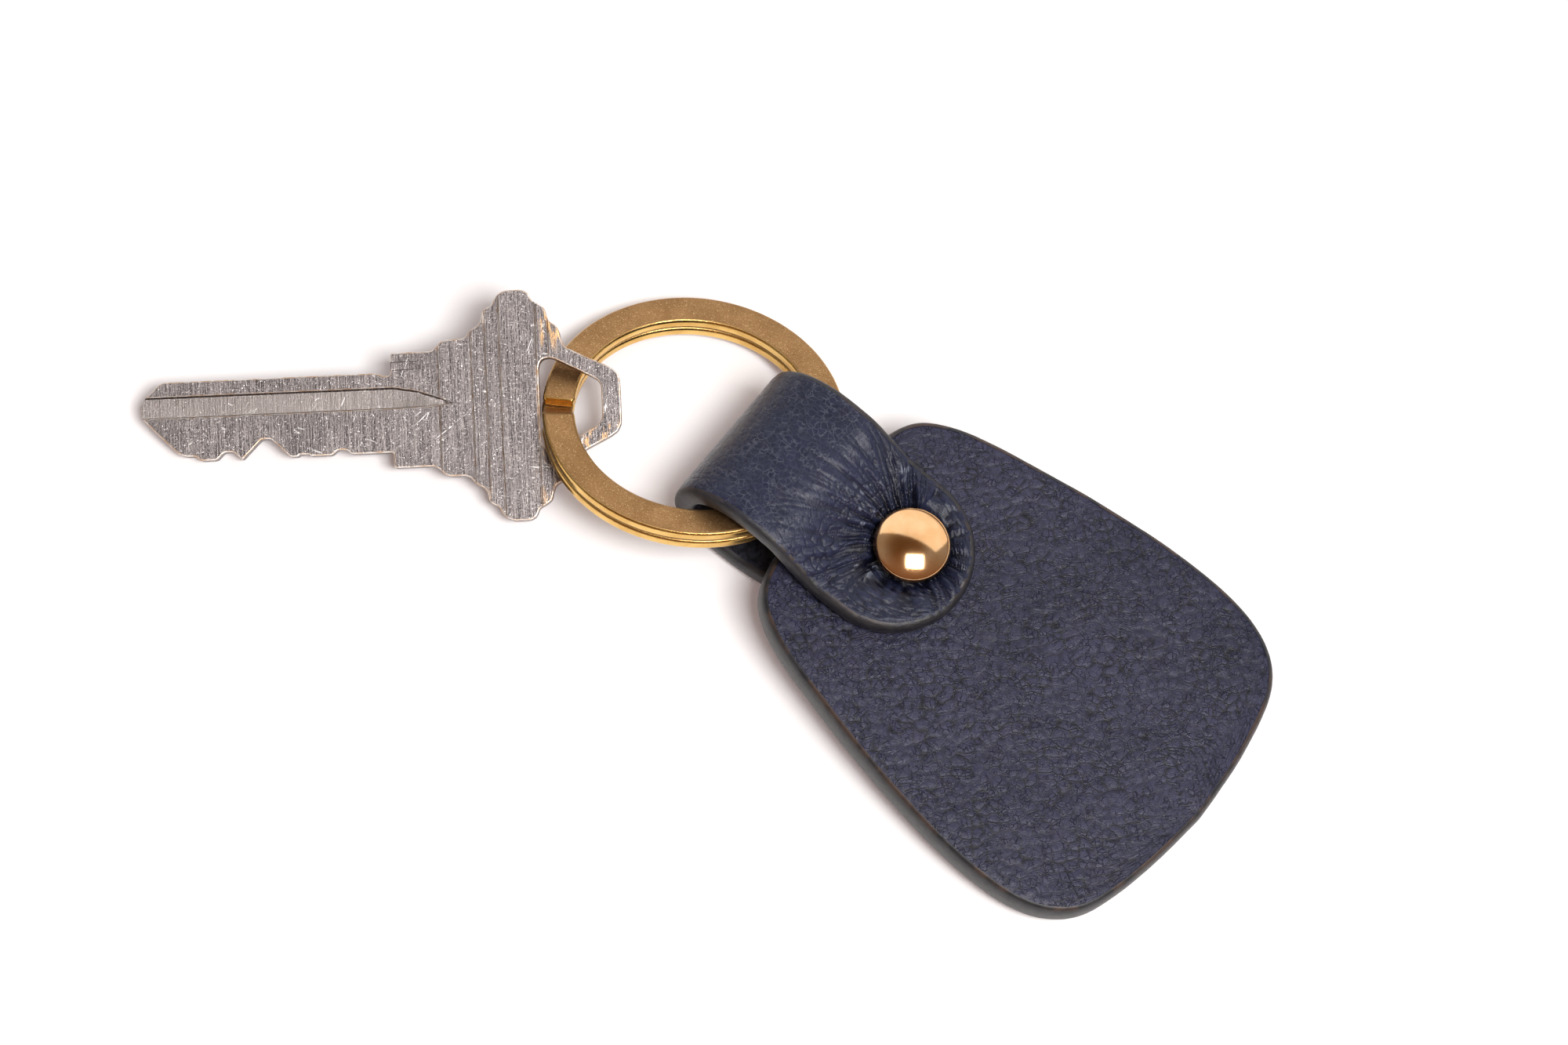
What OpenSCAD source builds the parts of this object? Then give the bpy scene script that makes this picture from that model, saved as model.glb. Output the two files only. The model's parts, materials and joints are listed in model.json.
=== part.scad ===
// Keychain: leather fob on a split ring, with one house key on the ring.
// It lies on a table at z = 0. Millimetres, +Z up.

/* [Fob] */
// overall length of the leather fob
fob_len = 51.2; // [48:0.2:56]
// overall width of the fob at its widest, near the bottom
fob_wide = 41.8; // [40:0.2:46]
// total thickness of the fob
fob_thick = 4.2; // [3.8:0.1:4.8]
// thickness of the front leather
fob_front_t = 1.2; // [0.8:0.1:1.4]
// thickness of the back leather
fob_back_t = 1.2; // [0.8:0.1:1.4]
// width of the painted edge band, seen from the front
fob_edge_w = 0.6; // [0.4:0.1:0.8]
// distance from the rivet to the fob's top edge
rivet_to_top = 10.3; // [10:0.1:10.4]
// distance of the rivet from the fob's centre line
rivet_off_fob = 0.85; // [0:0.05:1]

/* [Strap] */
// width of the folded strap
strap_wide = 18; // [16:0.2:18.4]
// total thickness of the strap
strap_t = 2.5; // [2.3:0.1:2.6]
// thickness of the strap's outer leather
strap_outer_t = 1.3; // [1:0.1:1.5]
// width of the painted band along the strap's edges
strap_edge_w = 0.5; // [0.3:0.1:0.7]
// distance of the rivet from the strap's centre line
rivet_off_strap = 1.35; // [0:0.05:1.5]
// distance from the rivet to the strap's round end
strap_end = 7.4; // [7:0.1:8]
// angle of the strap to the fob's long axis
strap_turn = 2; // [0:0.5:3]

/* [Rivet] */
// outside diameter of both rivet caps
cap_d = 8.2; // [7:0.1:8.4]
// height of the domed front cap above the leather
dome_h = 2; // [1.7:0.1:2.2]
// height of the flat back cap behind the leather
back_cap_h = 0.65; // [0.55:0.05:0.65]
// diameter of the rivet's socket tube
socket_d = 3.8; // [3.2:0.1:4]
// diameter of the rivet's post
post_d = 2.8; // [2.2:0.1:2.9]

/* [Split ring] */
// outside diameter of the ring
ring_od = 32; // [31.6:0.1:32]
// radial width of the flat wire
wire_w = 3.4; // [3.2:0.1:3.6]
// thickness of one coil of the wire
coil_t = 1.3; // [1.2:0.05:1.4]
// gap between the two coils
coil_gap = 0.06; // [0.04:0.01:0.1]
// direction of the step where the wire changes level
step_at = 180; // [176:1:184]
// arc over which the wire changes level
step_arc = 9; // [8:1:12]

/* [Key] */
// thickness of the key blank
key_t = 1.9; // [1.8:0.05:1.9]
// height of the blade
blade_h = 8.4; // [8.2:0.1:8.8]
// distance from the shoulder to the tip
blade_len = 26.4; // [25.8:0.2:27]
// distance from the shoulder to the first cut
first_cut = 5.4; // [5:0.1:5.8]
// distance between cuts
cut_pitch = 3.95; // [3.8:0.05:4]
// depth of the milled groove along the blade
groove_depth = 0.6; // [0.3:0.05:0.8]
// depth of the lines milled across the bow
line_depth = 0.12; // [0.05:0.01:0.2]
// length of the bow behind the shoulder
bow_len = 24; // [23.4:0.2:24.4]

/* [Hidden] */
// running gap between pieces that move on each other
gap = 0.05;
// how finely curves are drawn
fine = 96;
navy = [0.10, 0.12, 0.20];
navy_in = [0.09, 0.10, 0.16];
board = [0.36, 0.27, 0.20];
paint = [0.07, 0.07, 0.09];
gold = [0.80, 0.60, 0.42];
brass = [0.62, 0.47, 0.27];
nickel = [0.52, 0.49, 0.47];

// the whole object is moved so that its box is centred on the origin
shift_x = 8.5;
shift_y = 9.42;
// the fob: rivet position, heading and tilt
fob_pos = [11.95, -5.78, 3.62];
fob_heading = -39.5;
fob_tilt = 5.13;
// the ring: centre, heading of its low side and tilt
ring_pos = [-9.99, 9.01, 5.72];
ring_heading = -4.5;
ring_tilt = 16.4;
// the key: where blade axis and shoulder meet, and its three angles
key_pos = [-41.55, 9.5, 4.01];
key_heading = 2.6;
key_pitch = 5;
key_roll = 17;

module place_fob() {
  translate([shift_x, shift_y, 0])
    translate(fob_pos)
      rotate([0, 0, fob_heading])
        rotate([0, fob_tilt, 0])
          children();
}

module place_strap() {
  place_fob()
    rotate([0, 0, strap_turn])
      children();
}

module place_ring() {
  translate([shift_x, shift_y, 0])
    translate(ring_pos)
      rotate([0, 0, ring_heading])
        rotate([-ring_tilt, 0, 0])
          children();
}

module place_key() {
  translate([shift_x, shift_y, 0])
    translate(key_pos)
      rotate([0, 0, key_heading])
        rotate([0, -key_pitch, 0])
          rotate([key_roll, 0, 0])
            children();
}

// ---- curve helpers ----
// points on an arc, first and last included
function arc(c, r, a0, a1, n) =
  [for (i = [0:n]) c + r * [cos(a0 + (a1 - a0) * i / n), sin(a0 + (a1 - a0) * i / n)]];
// smooth curve through a list of points, k points a span
function spline_at(a, b, c, d, t) =
  0.5 * (2 * b + (c - a) * t + (2 * a - 5 * b + 4 * c - d) * t * t
  + (3 * b - a - 3 * c + d) * t * t * t);
function clampi(i, n) = i < 0 ? 0 : (i > n - 1 ? n - 1 : i);
function spline(p, k) =
  [for (i = [0:len(p) - 2]) for (j = [0:k - 1])
    spline_at(p[clampi(i - 1, len(p))], p[i], p[i + 1], p[clampi(i + 2, len(p))], j / k)];
// outward normal of a closed outline that runs anticlockwise
function side_normal(p, i) =
  let (a = p[(i + len(p) - 1) % len(p)], b = p[(i + 1) % len(p)], d = b - a)
  [d[1], -d[0]] / norm(d);
function grown(p, by) = [for (i = [0:len(p) - 1]) p[i] + by * side_normal(p, i)];
// offset of an open path to its left
function path_normal(p, i) =
  let (a = p[clampi(i - 1, len(p))], b = p[clampi(i + 1, len(p))], d = b - a)
  [-d[1], d[0]] / norm(d);
function beside(p, by) = [for (i = [0:len(p) - 1]) p[i] + by * path_normal(p, i)];
function reversed(p) = [for (i = [len(p) - 1:-1:0]) p[i]];

// ---- fob ----
// half outline as fractions of length and half width, top edge to bottom edge
fob_half = [[0, 0], [0, 0.30], [0.006, 0.46], [0.03, 0.605], [0.075, 0.70], [0.15, 0.777],
  [0.28, 0.856], [0.43, 0.93], [0.59, 0.985], [0.715, 1], [0.815, 0.975], [0.888, 0.905],
  [0.94, 0.78], [0.967, 0.60], [0.988, 0.33], [1, 0]];
fob_half_mm = [for (q = fob_half) [q[0] * fob_len - rivet_to_top, q[1] * fob_wide / 2]];
fob_lower = spline([for (q = fob_half_mm) [q[0], -q[1]]], 4);
fob_upper = spline(reversed(fob_half_mm), 4);
fob_line = concat(fob_lower, fob_upper);
fob_outline = [for (q = fob_line) [q[0], q[1] - rivet_off_fob]];
fob_hole_r = socket_d / 2 + 0.04;

module fob_layer(z0, z1) {
  difference() {
    translate([0, 0, z0])
      linear_extrude(z1 - z0)
        polygon(grown(fob_outline, -fob_edge_w));
    translate([0, 0, z0 - 1])
      cylinder(r = fob_hole_r, h = z1 - z0 + 2, $fn = 48);
  }
}

module fob_front_leather() {
  color(navy)
    place_fob()
      fob_layer(fob_thick - fob_front_t, fob_thick);
}

module fob_core_board() {
  color(board)
    place_fob()
      fob_layer(fob_back_t, fob_thick - fob_front_t);
}

module fob_back_leather() {
  color(navy)
    place_fob()
      fob_layer(0, fob_back_t);
}

// levels of the rounded edge band: height fraction and how far it stands in
edge_levels = [[0, 0.55], [0.05, 0.30], [0.18, 0.09], [0.5, 0], [0.82, 0.09], [0.95, 0.30], [1, 0.55]];

module fob_edge_paint() {
  n = len(fob_outline);
  m = len(edge_levels);
  outer = [for (e = edge_levels) for (q = grown(fob_outline, -e[1])) [q[0], q[1], e[0] * fob_thick]];
  inner = grown(fob_outline, -fob_edge_w);
  low = [for (q = inner) [q[0], q[1], 0]];
  high = [for (q = inner) [q[0], q[1], fob_thick]];
  walls = [for (k = [0:m - 2]) for (i = [0:n - 1]) let (j = (i + 1) % n)
    [k * n + i, (k + 1) * n + i, (k + 1) * n + j, k * n + j]];
  il = m * n;
  ih = m * n + n;
  back = [for (i = [0:n - 1]) let (j = (i + 1) % n) [il + i, il + j, ih + j, ih + i]];
  foot = [for (i = [0:n - 1]) let (j = (i + 1) % n) [i, j, il + j, il + i]];
  lid = [for (i = [0:n - 1]) let (j = (i + 1) % n)
    [(m - 1) * n + j, (m - 1) * n + i, ih + i, ih + j]];
  color(paint)
    place_fob()
      polyhedron(concat(outer, low, high), concat(walls, back, foot, lid));
}

// ---- strap ----
// middle line of the strap seen from the side: front leaf, loop, back leaf
leaf_front_z = fob_thick + gap + strap_t / 2;
leaf_back_z = -gap - strap_t / 2;
loop_top_z = leaf_front_z + 2.95;
loop_low_z = leaf_back_z - 2.1;
fold_x = -21.55;
upper_r = 6.95;
lower_r = 4.25;
side_line = concat(
  [[strap_end + 2, leaf_front_z]],
  spline([[-4.2, leaf_front_z], [-5.6, leaf_front_z + 0.16], [-8.2, leaf_front_z + 1.35],
    [-10.8, loop_top_z - 0.35], [-12.6, loop_top_z - 0.03], [fold_x + upper_r, loop_top_z]], 4),
  arc([fold_x + upper_r, loop_top_z - upper_r], upper_r, 90, 180, 20),
  arc([fold_x + lower_r, loop_low_z + lower_r], lower_r, 180, 270, 14),
  spline([[-14.6, loop_low_z], [-13, loop_low_z + 0.1], [-10.8, loop_low_z + 0.85],
    [-8.6, leaf_back_z - 0.5], [-6.6, leaf_back_z - 0.05], [-5.2, leaf_back_z]], 4),
  [[-5.2, leaf_back_z], [strap_end + 2, leaf_back_z]]);

// the side line thickened from offset a to offset b; + is the outer face
function leaf_section(a, b) =
  concat(beside(side_line, -b), reversed(beside(side_line, -a)));

module strap_slab(a, b, wide) {
  translate([0, wide / 2 - rivet_off_strap, 0])
    rotate([90, 0, 0])
      linear_extrude(wide)
        polygon(leaf_section(a, b));
}

// plan outline of the strap, inset all round: round end at the rivet
module strap_plan(inset) {
  r = strap_wide / 2 - inset;
  translate([strap_end - strap_wide / 2, -rivet_off_strap, -20])
    union() {
      cylinder(r = r, h = 50, $fn = fine);
      translate([-60, -r, 0])
        cube([60, 2 * r, 50]);
    }
}

module strap_hole() {
  translate([0, 0, -20])
    cylinder(r = socket_d / 2 + gap, h = 50, $fn = 48);
}

module strap_body(a, b) {
  difference() {
    intersection() {
      strap_slab(a, b, strap_wide - 2 * strap_edge_w);
      strap_plan(strap_edge_w);
    }
    strap_hole();
  }
}

strap_mid = strap_t / 2 - strap_outer_t;

module strap_outer_leather() {
  color(navy)
    place_strap()
      strap_body(strap_mid, strap_t / 2);
}

module strap_lining_leather() {
  color(navy_in)
    place_strap()
      strap_body(-strap_t / 2, strap_mid);
}

module strap_edge_paint() {
  color(paint)
    place_strap()
      difference() {
        intersection() {
          strap_slab(-strap_t / 2, strap_t / 2, strap_wide);
          strap_plan(0);
        }
        strap_plan(strap_edge_w);
      }
}

// ---- rivet ----
cap_r = cap_d / 2;
leather_top = fob_thick + gap + strap_t;
leather_foot = -gap - strap_t;
shell_t = 0.35;
dome_z = leather_top + 0.04;
flange_r = cap_r - shell_t - 0.1;
// height of the cap's upright wall, where the dome starts
drum_h = dome_h * 0.38;

module rivet_front_cap() {
  color(gold)
    place_fob()
      translate([0, 0, dome_z])
        difference() {
          rotate_extrude($fn = fine)
            polygon(concat([[0, 0], [cap_r - 0.3, 0], [cap_r - 0.06, 0.1], [cap_r, 0.25]],
              arc([cap_r - 0.45, drum_h - 0.35], 0.45, 0, 62, 5),
              [for (i = [1:8]) [(cap_r - 0.24) * (1 - i / 8),
                dome_h - (dome_h - drum_h - 0.05) * pow(1 - i / 8, 2)]]));
          translate([0, 0, -1])
            cylinder(r = cap_r - 0.75, h = 1.3, $fn = fine);
          rotate_extrude($fn = fine)
            polygon([[0, 0.2], [flange_r, 0.2], [flange_r, 0.56],
              [flange_r * 0.5, dome_h - shell_t - 0.25], [0, dome_h - shell_t]]);
        }
}

module rivet_socket() {
  color(gold)
    place_fob()
      difference() {
        union() {
          translate([0, 0, 0.6])
            cylinder(d = socket_d, h = dome_z - 0.4, $fn = 48);
          translate([0, 0, dome_z + 0.22])
            cylinder(r = flange_r - 0.03, h = 0.3, $fn = fine);
          translate([0, 0, dome_z + 0.02])
            cylinder(r = cap_r - 0.8, h = 0.3, $fn = fine);
        }
        translate([0, 0, 0])
          cylinder(d = post_d + 0.04, h = 12, $fn = 48);
      }
}

module rivet_post() {
  color(gold)
    place_fob() {
      translate([0, 0, leather_foot - 0.2])
        cylinder(d = post_d, h = dome_z + 0.54 - leather_foot + 0.2, $fn = 48);
      translate([0, 0, dome_z + 0.54])
        cylinder(r1 = post_d / 2 + 0.5, r2 = post_d / 2 + 0.1, h = 0.35, $fn = 48);
    }
}

module rivet_back_cap() {
  color(gold)
    place_fob()
      translate([0, 0, leather_foot - 0.04])
        difference() {
          rotate_extrude($fn = fine)
            polygon([[0, 0], [cap_r - 0.15, 0], [cap_r, -0.15], [cap_r, -back_cap_h * 0.55],
              [cap_r - 0.12, -back_cap_h * 0.85], [cap_r - 0.4, -back_cap_h], [0, -back_cap_h]]);
          translate([0, 0, -0.18])
            cylinder(d = post_d + 0.02, h = 1, $fn = 48);
        }
}

// ---- split ring ----
ring_ro = ring_od / 2;
ring_ri = ring_ro - wire_w;
edge_c = 0.28;
wire_h = coil_t - coil_gap / 2;
// section of one coil, with its lower face at 0
wire_section = [[ring_ri + edge_c, 0], [ring_ro - edge_c, 0], [ring_ro, edge_c],
  [ring_ro, wire_h - edge_c], [ring_ro - edge_c, wire_h], [ring_ri + edge_c, wire_h],
  [ring_ri, wire_h - edge_c], [ring_ri, edge_c]];
step_n = 14;

module coil(z0) {
  translate([0, 0, z0])
    rotate([0, 0, step_at + step_arc])
      rotate_extrude(angle = 360 - step_arc, $fn = 120)
        polygon(wire_section);
}

// the wire between the levels: full height at the start, one coil lower at the end
function step_z(t) = coil_gap / 2 - (coil_t + coil_gap / 2) * (3 * t * t - 2 * t * t * t);

// the step's section stands a hair inside the coils it runs into
step_in = 0.02;
step_section = [[ring_ri + edge_c, step_in], [ring_ro - edge_c, step_in], [ring_ro - step_in, edge_c],
  [ring_ro - step_in, wire_h - edge_c], [ring_ro - edge_c, wire_h - step_in],
  [ring_ri + edge_c, wire_h - step_in], [ring_ri + step_in, wire_h - edge_c],
  [ring_ri + step_in, edge_c]];

module level_change() {
  m = len(step_section);
  ts = concat([-0.04], [for (i = [0:step_n]) i / step_n], [1.04]);
  n = len(ts);
  pts = [for (t = ts) for (q = step_section)
    let (a = step_at + step_arc * (1 - t), s = t < 0 ? 0 : (t > 1 ? 1 : t))
    [q[0] * cos(a), q[0] * sin(a), q[1] + step_z(s)]];
  walls = [for (k = [0:n - 2]) for (i = [0:m - 1]) let (j = (i + 1) % m)
    [k * m + i, (k + 1) * m + i, (k + 1) * m + j, k * m + j]];
  first = [[for (i = [0:m - 1]) i]];
  last = [[for (i = [m - 1:-1:0]) (n - 1) * m + i]];
  polyhedron(pts, concat(walls, first, last));
}

module split_ring() {
  color(brass)
    place_ring()
      union() {
        coil(coil_gap / 2);
        coil(-coil_t);
        level_change();
      }
}

// ---- key ----
bow_mid = 0.2;
bow_half = [[0, 6.05], [4.2, 6.05], [4.8, 6.4], [5.3, 7.0], [5.9, 7.2], [7.5, 7.2], [8.0, 7.45],
  [8.5, 8.1], [9.3, 8.55], [9.65, 9.0], [9.75, 9.8], [10.1, 10.3], [10.8, 10.6], [11.15, 11.3],
  [11.6, 11.85], [12.4, 12.15], [14.1, 12.15], [14.7, 11.8], [15.05, 10.95], [15.8, 10.55],
  [16.4, 10.1], [16.6, 9.2], [16.9, 8.55], [17.5, 8.25], [17.85, 7.6], [17.95, 6.7],
  [18.4, 5.9], [19.6, 5.25], [bow_len - 1.2, 3.7], [bow_len - 0.45, 3.2], [bow_len - 0.05, 2.5],
  [bow_len, 1.5]];
hole_half = [[15.5, 3.8], [15.65, 4.4], [16.05, 4.78], [16.7, 4.86], [17.4, 4.62],
  [21.1, 2.65], [21.75, 2.2], [22.0, 1.6]];
// how far each cut goes into the blade's edge
cut_depth = [0.5, 0.2, 2.0, 0.8, 0.5];
// lines milled across both faces of the bow
line_at = [4.95, 8.45, 9.95, 11.45, 15.3, 16.6];

module blade_shape() {
  difference() {
    translate([0, 0, -key_t / 2])
      linear_extrude(key_t)
        polygon([[1, blade_h / 2 - 0.3], [-0.9, blade_h / 2 - 0.3], [-1.6, blade_h / 2],
          [-blade_len + 2.3, blade_h / 2], [-blade_len + 0.25, 2.3], [-blade_len, 1.7],
          [-blade_len + 0.15, 0.5], [-blade_len + 1.8, -1.3], [-blade_len + 3.9, -3.4],
          [-blade_len + 4.6, -blade_h / 2], [1, -blade_h / 2]]);
    for (i = [0:4])
      translate([-first_cut - i * cut_pitch, -blade_h / 2, -key_t])
        linear_extrude(2 * key_t)
          polygon([[-0.5, cut_depth[i]], [0.5, cut_depth[i]], [1.5 + cut_depth[i], -1],
            [-1.5 - cut_depth[i], -1]]);
  }
}

module bow_shape() {
  top = [for (q = bow_half) [q[0], q[1] + bow_mid]];
  foot = [for (q = bow_half) [q[0], bow_mid - q[1]]];
  hole_top = [for (q = hole_half) [q[0], q[1] + bow_mid]];
  hole_foot = [for (q = hole_half) [q[0], bow_mid - q[1]]];
  difference() {
    translate([0, 0, -key_t / 2])
      linear_extrude(key_t)
        polygon(concat(top, reversed(foot)));
    translate([0, 0, -key_t])
      linear_extrude(2 * key_t)
        polygon(concat(hole_top, reversed(hole_foot)));
  }
}

// one milled groove on the front face, running out at the bow
module blade_groove() {
  translate([0, 0, key_t / 2 - groove_depth])
    linear_extrude(key_t)
      polygon([[-blade_len - 1, 0.45], [-blade_len - 1, 2.62], [0.2, 2.58], [2.6, 2.15],
        [4.8, 1.4], [6.45, 0.78], [5, 0.62], [0, 0.45]]);
}

// the matching groove on the back face, on the other side of the blade axis
module back_groove() {
  translate([0, 0, -key_t / 2 - 1])
    linear_extrude(1 + groove_depth)
      polygon([[-blade_len - 1, -2.2], [-blade_len - 1, -0.5], [0.2, -0.5], [4.2, -0.7],
        [5.6, -1.2], [4.2, -1.7], [0.2, -2.2]]);
}

module shoulder_groove() {
  translate([-1, 4.35, key_t / 2 - 0.3])
    cube([4.7, 1.0, 1]);
}

module bow_lines() {
  for (x = line_at)
    for (s = [-1, 1])
      translate([x - 0.12, -14, s * key_t / 2 - line_depth])
        cube([0.24, 28, 2 * line_depth]);
}

module key() {
  color(nickel)
    place_key()
      difference() {
        union() {
          blade_shape();
          bow_shape();
        }
        blade_groove();
        back_groove();
        shoulder_groove();
        bow_lines();
      }
}

fob_front_leather();
fob_core_board();
fob_back_leather();
fob_edge_paint();
strap_outer_leather();
strap_lining_leather();
strap_edge_paint();
rivet_front_cap();
rivet_socket();
rivet_post();
rivet_back_cap();
split_ring();
key();
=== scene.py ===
import json
import math

import bmesh
import bpy
import numpy as np
from mathutils import Matrix, Vector

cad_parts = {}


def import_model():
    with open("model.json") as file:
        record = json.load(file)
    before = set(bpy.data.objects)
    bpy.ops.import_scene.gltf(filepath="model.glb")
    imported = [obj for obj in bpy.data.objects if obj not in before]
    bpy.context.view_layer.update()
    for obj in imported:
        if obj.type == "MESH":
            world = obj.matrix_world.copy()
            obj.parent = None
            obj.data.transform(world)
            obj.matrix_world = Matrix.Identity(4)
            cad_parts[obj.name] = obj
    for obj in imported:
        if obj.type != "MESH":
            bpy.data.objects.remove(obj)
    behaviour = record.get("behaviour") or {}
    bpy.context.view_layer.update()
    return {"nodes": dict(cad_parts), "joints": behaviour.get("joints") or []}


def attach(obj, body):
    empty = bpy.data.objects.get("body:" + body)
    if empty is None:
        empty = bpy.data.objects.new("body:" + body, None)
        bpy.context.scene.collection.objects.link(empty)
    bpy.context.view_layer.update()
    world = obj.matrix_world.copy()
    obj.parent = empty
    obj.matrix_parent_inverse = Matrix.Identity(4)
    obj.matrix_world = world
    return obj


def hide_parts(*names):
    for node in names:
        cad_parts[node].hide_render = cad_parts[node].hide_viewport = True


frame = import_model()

MM = 0.001
JOINTS = {j["name"]: j for j in frame["joints"]}

# ------------------------------------------------------------------ frames
# The three places where pieces lie: fob and strap round the rivet, the ring, the key.
# Angles and positions repeat part.scad, in degrees and millimetres.
SHIFT = Vector((8.5, 9.42, 0))
FOB_POS = Vector((11.95, -5.78, 3.62))
FOB_HEADING, FOB_TILT = -39.5, 5.13
STRAP_TURN = 2.0
RING_POS = Vector((-9.99, 9.01, 5.72))
RING_HEADING, RING_TILT = -4.5, 16.4
KEY_POS = Vector((-41.55, 9.5, 4.01))
KEY_HEADING, KEY_PITCH, KEY_ROLL = 2.6, 5.0, 17.0


def turned(axis, degrees):
    return Matrix.Rotation(math.radians(degrees), 4, axis)


def placed(pos, *turns):
    m = Matrix.Translation(SHIFT + pos)
    for t in turns:
        m = m @ t
    return Matrix.Scale(MM, 4) @ m


FOB = placed(FOB_POS, turned("Z", FOB_HEADING), turned("Y", FOB_TILT))
STRAP = FOB @ turned("Z", STRAP_TURN)
RING = placed(RING_POS, turned("Z", RING_HEADING), turned("X", -RING_TILT))
KEY = placed(KEY_POS, turned("Z", KEY_HEADING), turned("Y", -KEY_PITCH), turned("X", KEY_ROLL))


# ------------------------------------------------------------------ mesh helpers
def make_piece(name, verts, faces, place, material, body, nodes, attributes=None, sharp=40):
    """A mesh piece from points in millimetres in a local frame, riding on a CAD body."""
    v = np.asarray(verts, float)
    m = np.array(place)
    world = v @ m[:3, :3].T + m[:3, 3]
    mesh = bpy.data.meshes.new(name)
    mesh.from_pydata(world.tolist(), [], faces)
    mesh.validate()
    mesh.update()
    for key, values in (attributes or {}).items():
        values = np.asarray(values, np.float32)
        kind = "FLOAT" if values.ndim == 1 else "FLOAT_VECTOR"
        attr = mesh.attributes.new(key, kind, "POINT")
        attr.data.foreach_set("value" if values.ndim == 1 else "vector", values.ravel())
    obj = bpy.data.objects.new(name, mesh)
    bpy.context.scene.collection.objects.link(obj)
    finish_piece(obj, material, body, nodes, sharp)
    return obj


def finish_piece(obj, material, body, nodes, sharp=40):
    mesh = obj.data
    mesh.polygons.foreach_set("use_smooth", [True] * len(mesh.polygons))
    if sharp:
        mesh.set_sharp_from_angle(angle=math.radians(sharp))
    mesh.materials.clear()
    mesh.materials.append(material)
    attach(obj, body)
    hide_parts(*nodes)


def ring_faces(rows, cols, start=0, flip=False):
    """Quads between closed rows of cols points each."""
    i = np.arange(rows - 1)[:, None] * cols
    j = np.arange(cols)[None, :]
    k = (j + 1) % cols
    quad = np.stack([i + j, i + k, i + cols + k, i + cols + j], -1).reshape(-1, 4) + start
    return (quad[:, ::-1] if flip else quad).tolist()


def grid_faces(rows, cols, start=0, flip=False):
    """Quads of an open grid."""
    i = np.arange(rows - 1)[:, None] * cols
    j = np.arange(cols - 1)[None, :]
    quad = np.stack([i + j, i + j + 1, i + cols + j + 1, i + cols + j], -1).reshape(-1, 4) + start
    return (quad[:, ::-1] if flip else quad).tolist()


def catmull(points, per_span):
    p = np.asarray(points, float)
    out = []
    for i in range(len(p) - 1):
        a, b, c, d = p[max(i - 1, 0)], p[i], p[i + 1], p[min(i + 2, len(p) - 1)]
        for t in np.arange(per_span) / per_span:
            out.append(0.5 * (2 * b + (c - a) * t + (2 * a - 5 * b + 4 * c - d) * t * t
                              + (3 * b - a - 3 * c + d) * t ** 3))
    out.append(p[-1])
    return np.array(out)


def resampled(points, count, closed=False):
    p = np.asarray(points, float)
    if closed:
        p = np.vstack([p, p[:1]])
    s = np.r_[0, np.cumsum(np.linalg.norm(np.diff(p, axis=0), axis=1))]
    t = np.linspace(0, s[-1], count + 1)[:-1] if closed else np.linspace(0, s[-1], count)
    return np.stack([np.interp(t, s, p[:, k]) for k in range(p.shape[1])], 1)


def smoothed(points, rounds, closed=True):
    p = np.array(points, float)
    for _ in range(rounds):
        q = (np.roll(p, 1, 0) + 2 * p + np.roll(p, -1, 0)) / 4
        if not closed:
            q[0], q[-1] = p[0], p[-1]
        p = q
    return p


def outward(p):
    d = np.roll(p, -1, 0) - np.roll(p, 1, 0)
    n = np.stack([d[:, 1], -d[:, 0]], 1)
    return n / np.linalg.norm(n, axis=1)[:, None]


def smoothstep(a, b, x):
    t = np.clip((x - a) / (b - a), 0, 1)
    return t * t * (3 - 2 * t)


LATTICE = 256


def ripple(x, y, size, seed, octaves=1):
    """Smooth noise between about -1 and 1 over plan points; size is the wave's width in mm."""
    total = np.zeros(np.shape(x))
    for k in range(octaves):
        field = np.random.default_rng([seed, k]).random((LATTICE, LATTICE)) * 2 - 1
        px, py = np.asarray(x) / size * 2 ** k, np.asarray(y) / size * 2 ** k
        ix, iy = np.floor(px).astype(int), np.floor(py).astype(int)
        fx, fy = px - ix, py - iy
        fx, fy = fx * fx * (3 - 2 * fx), fy * fy * (3 - 2 * fy)
        at = [[field[(ix + i) % LATTICE, (iy + j) % LATTICE] for j in (0, 1)] for i in (0, 1)]
        total += ((at[0][0] * (1 - fy) + at[0][1] * fy) * (1 - fx)
                  + (at[1][0] * (1 - fy) + at[1][1] * fy) * fx) * 0.55 ** k
    return total


def cells(x, y, size, seed):
    """Irregular cells: distance to the nearest centre and to the border, both in cell sizes."""
    jitter = np.random.default_rng([seed, 99]).random((LATTICE, LATTICE, 2)) * 0.72 + 0.14
    px, py = x / size, y / size
    ix, iy = np.floor(px).astype(int), np.floor(py).astype(int)
    first, second = np.full(len(px), 9.0), np.full(len(px), 9.0)
    for dx in (-1, 0, 1):
        for dy in (-1, 0, 1):
            j = jitter[(ix + dx) % LATTICE, (iy + dy) % LATTICE]
            d = np.hypot(ix + dx + j[:, 0] - px, iy + dy + j[:, 1] - py)
            second = np.minimum(second, np.maximum(first, d))
            first = np.minimum(first, d)
    return first, second - first


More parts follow.
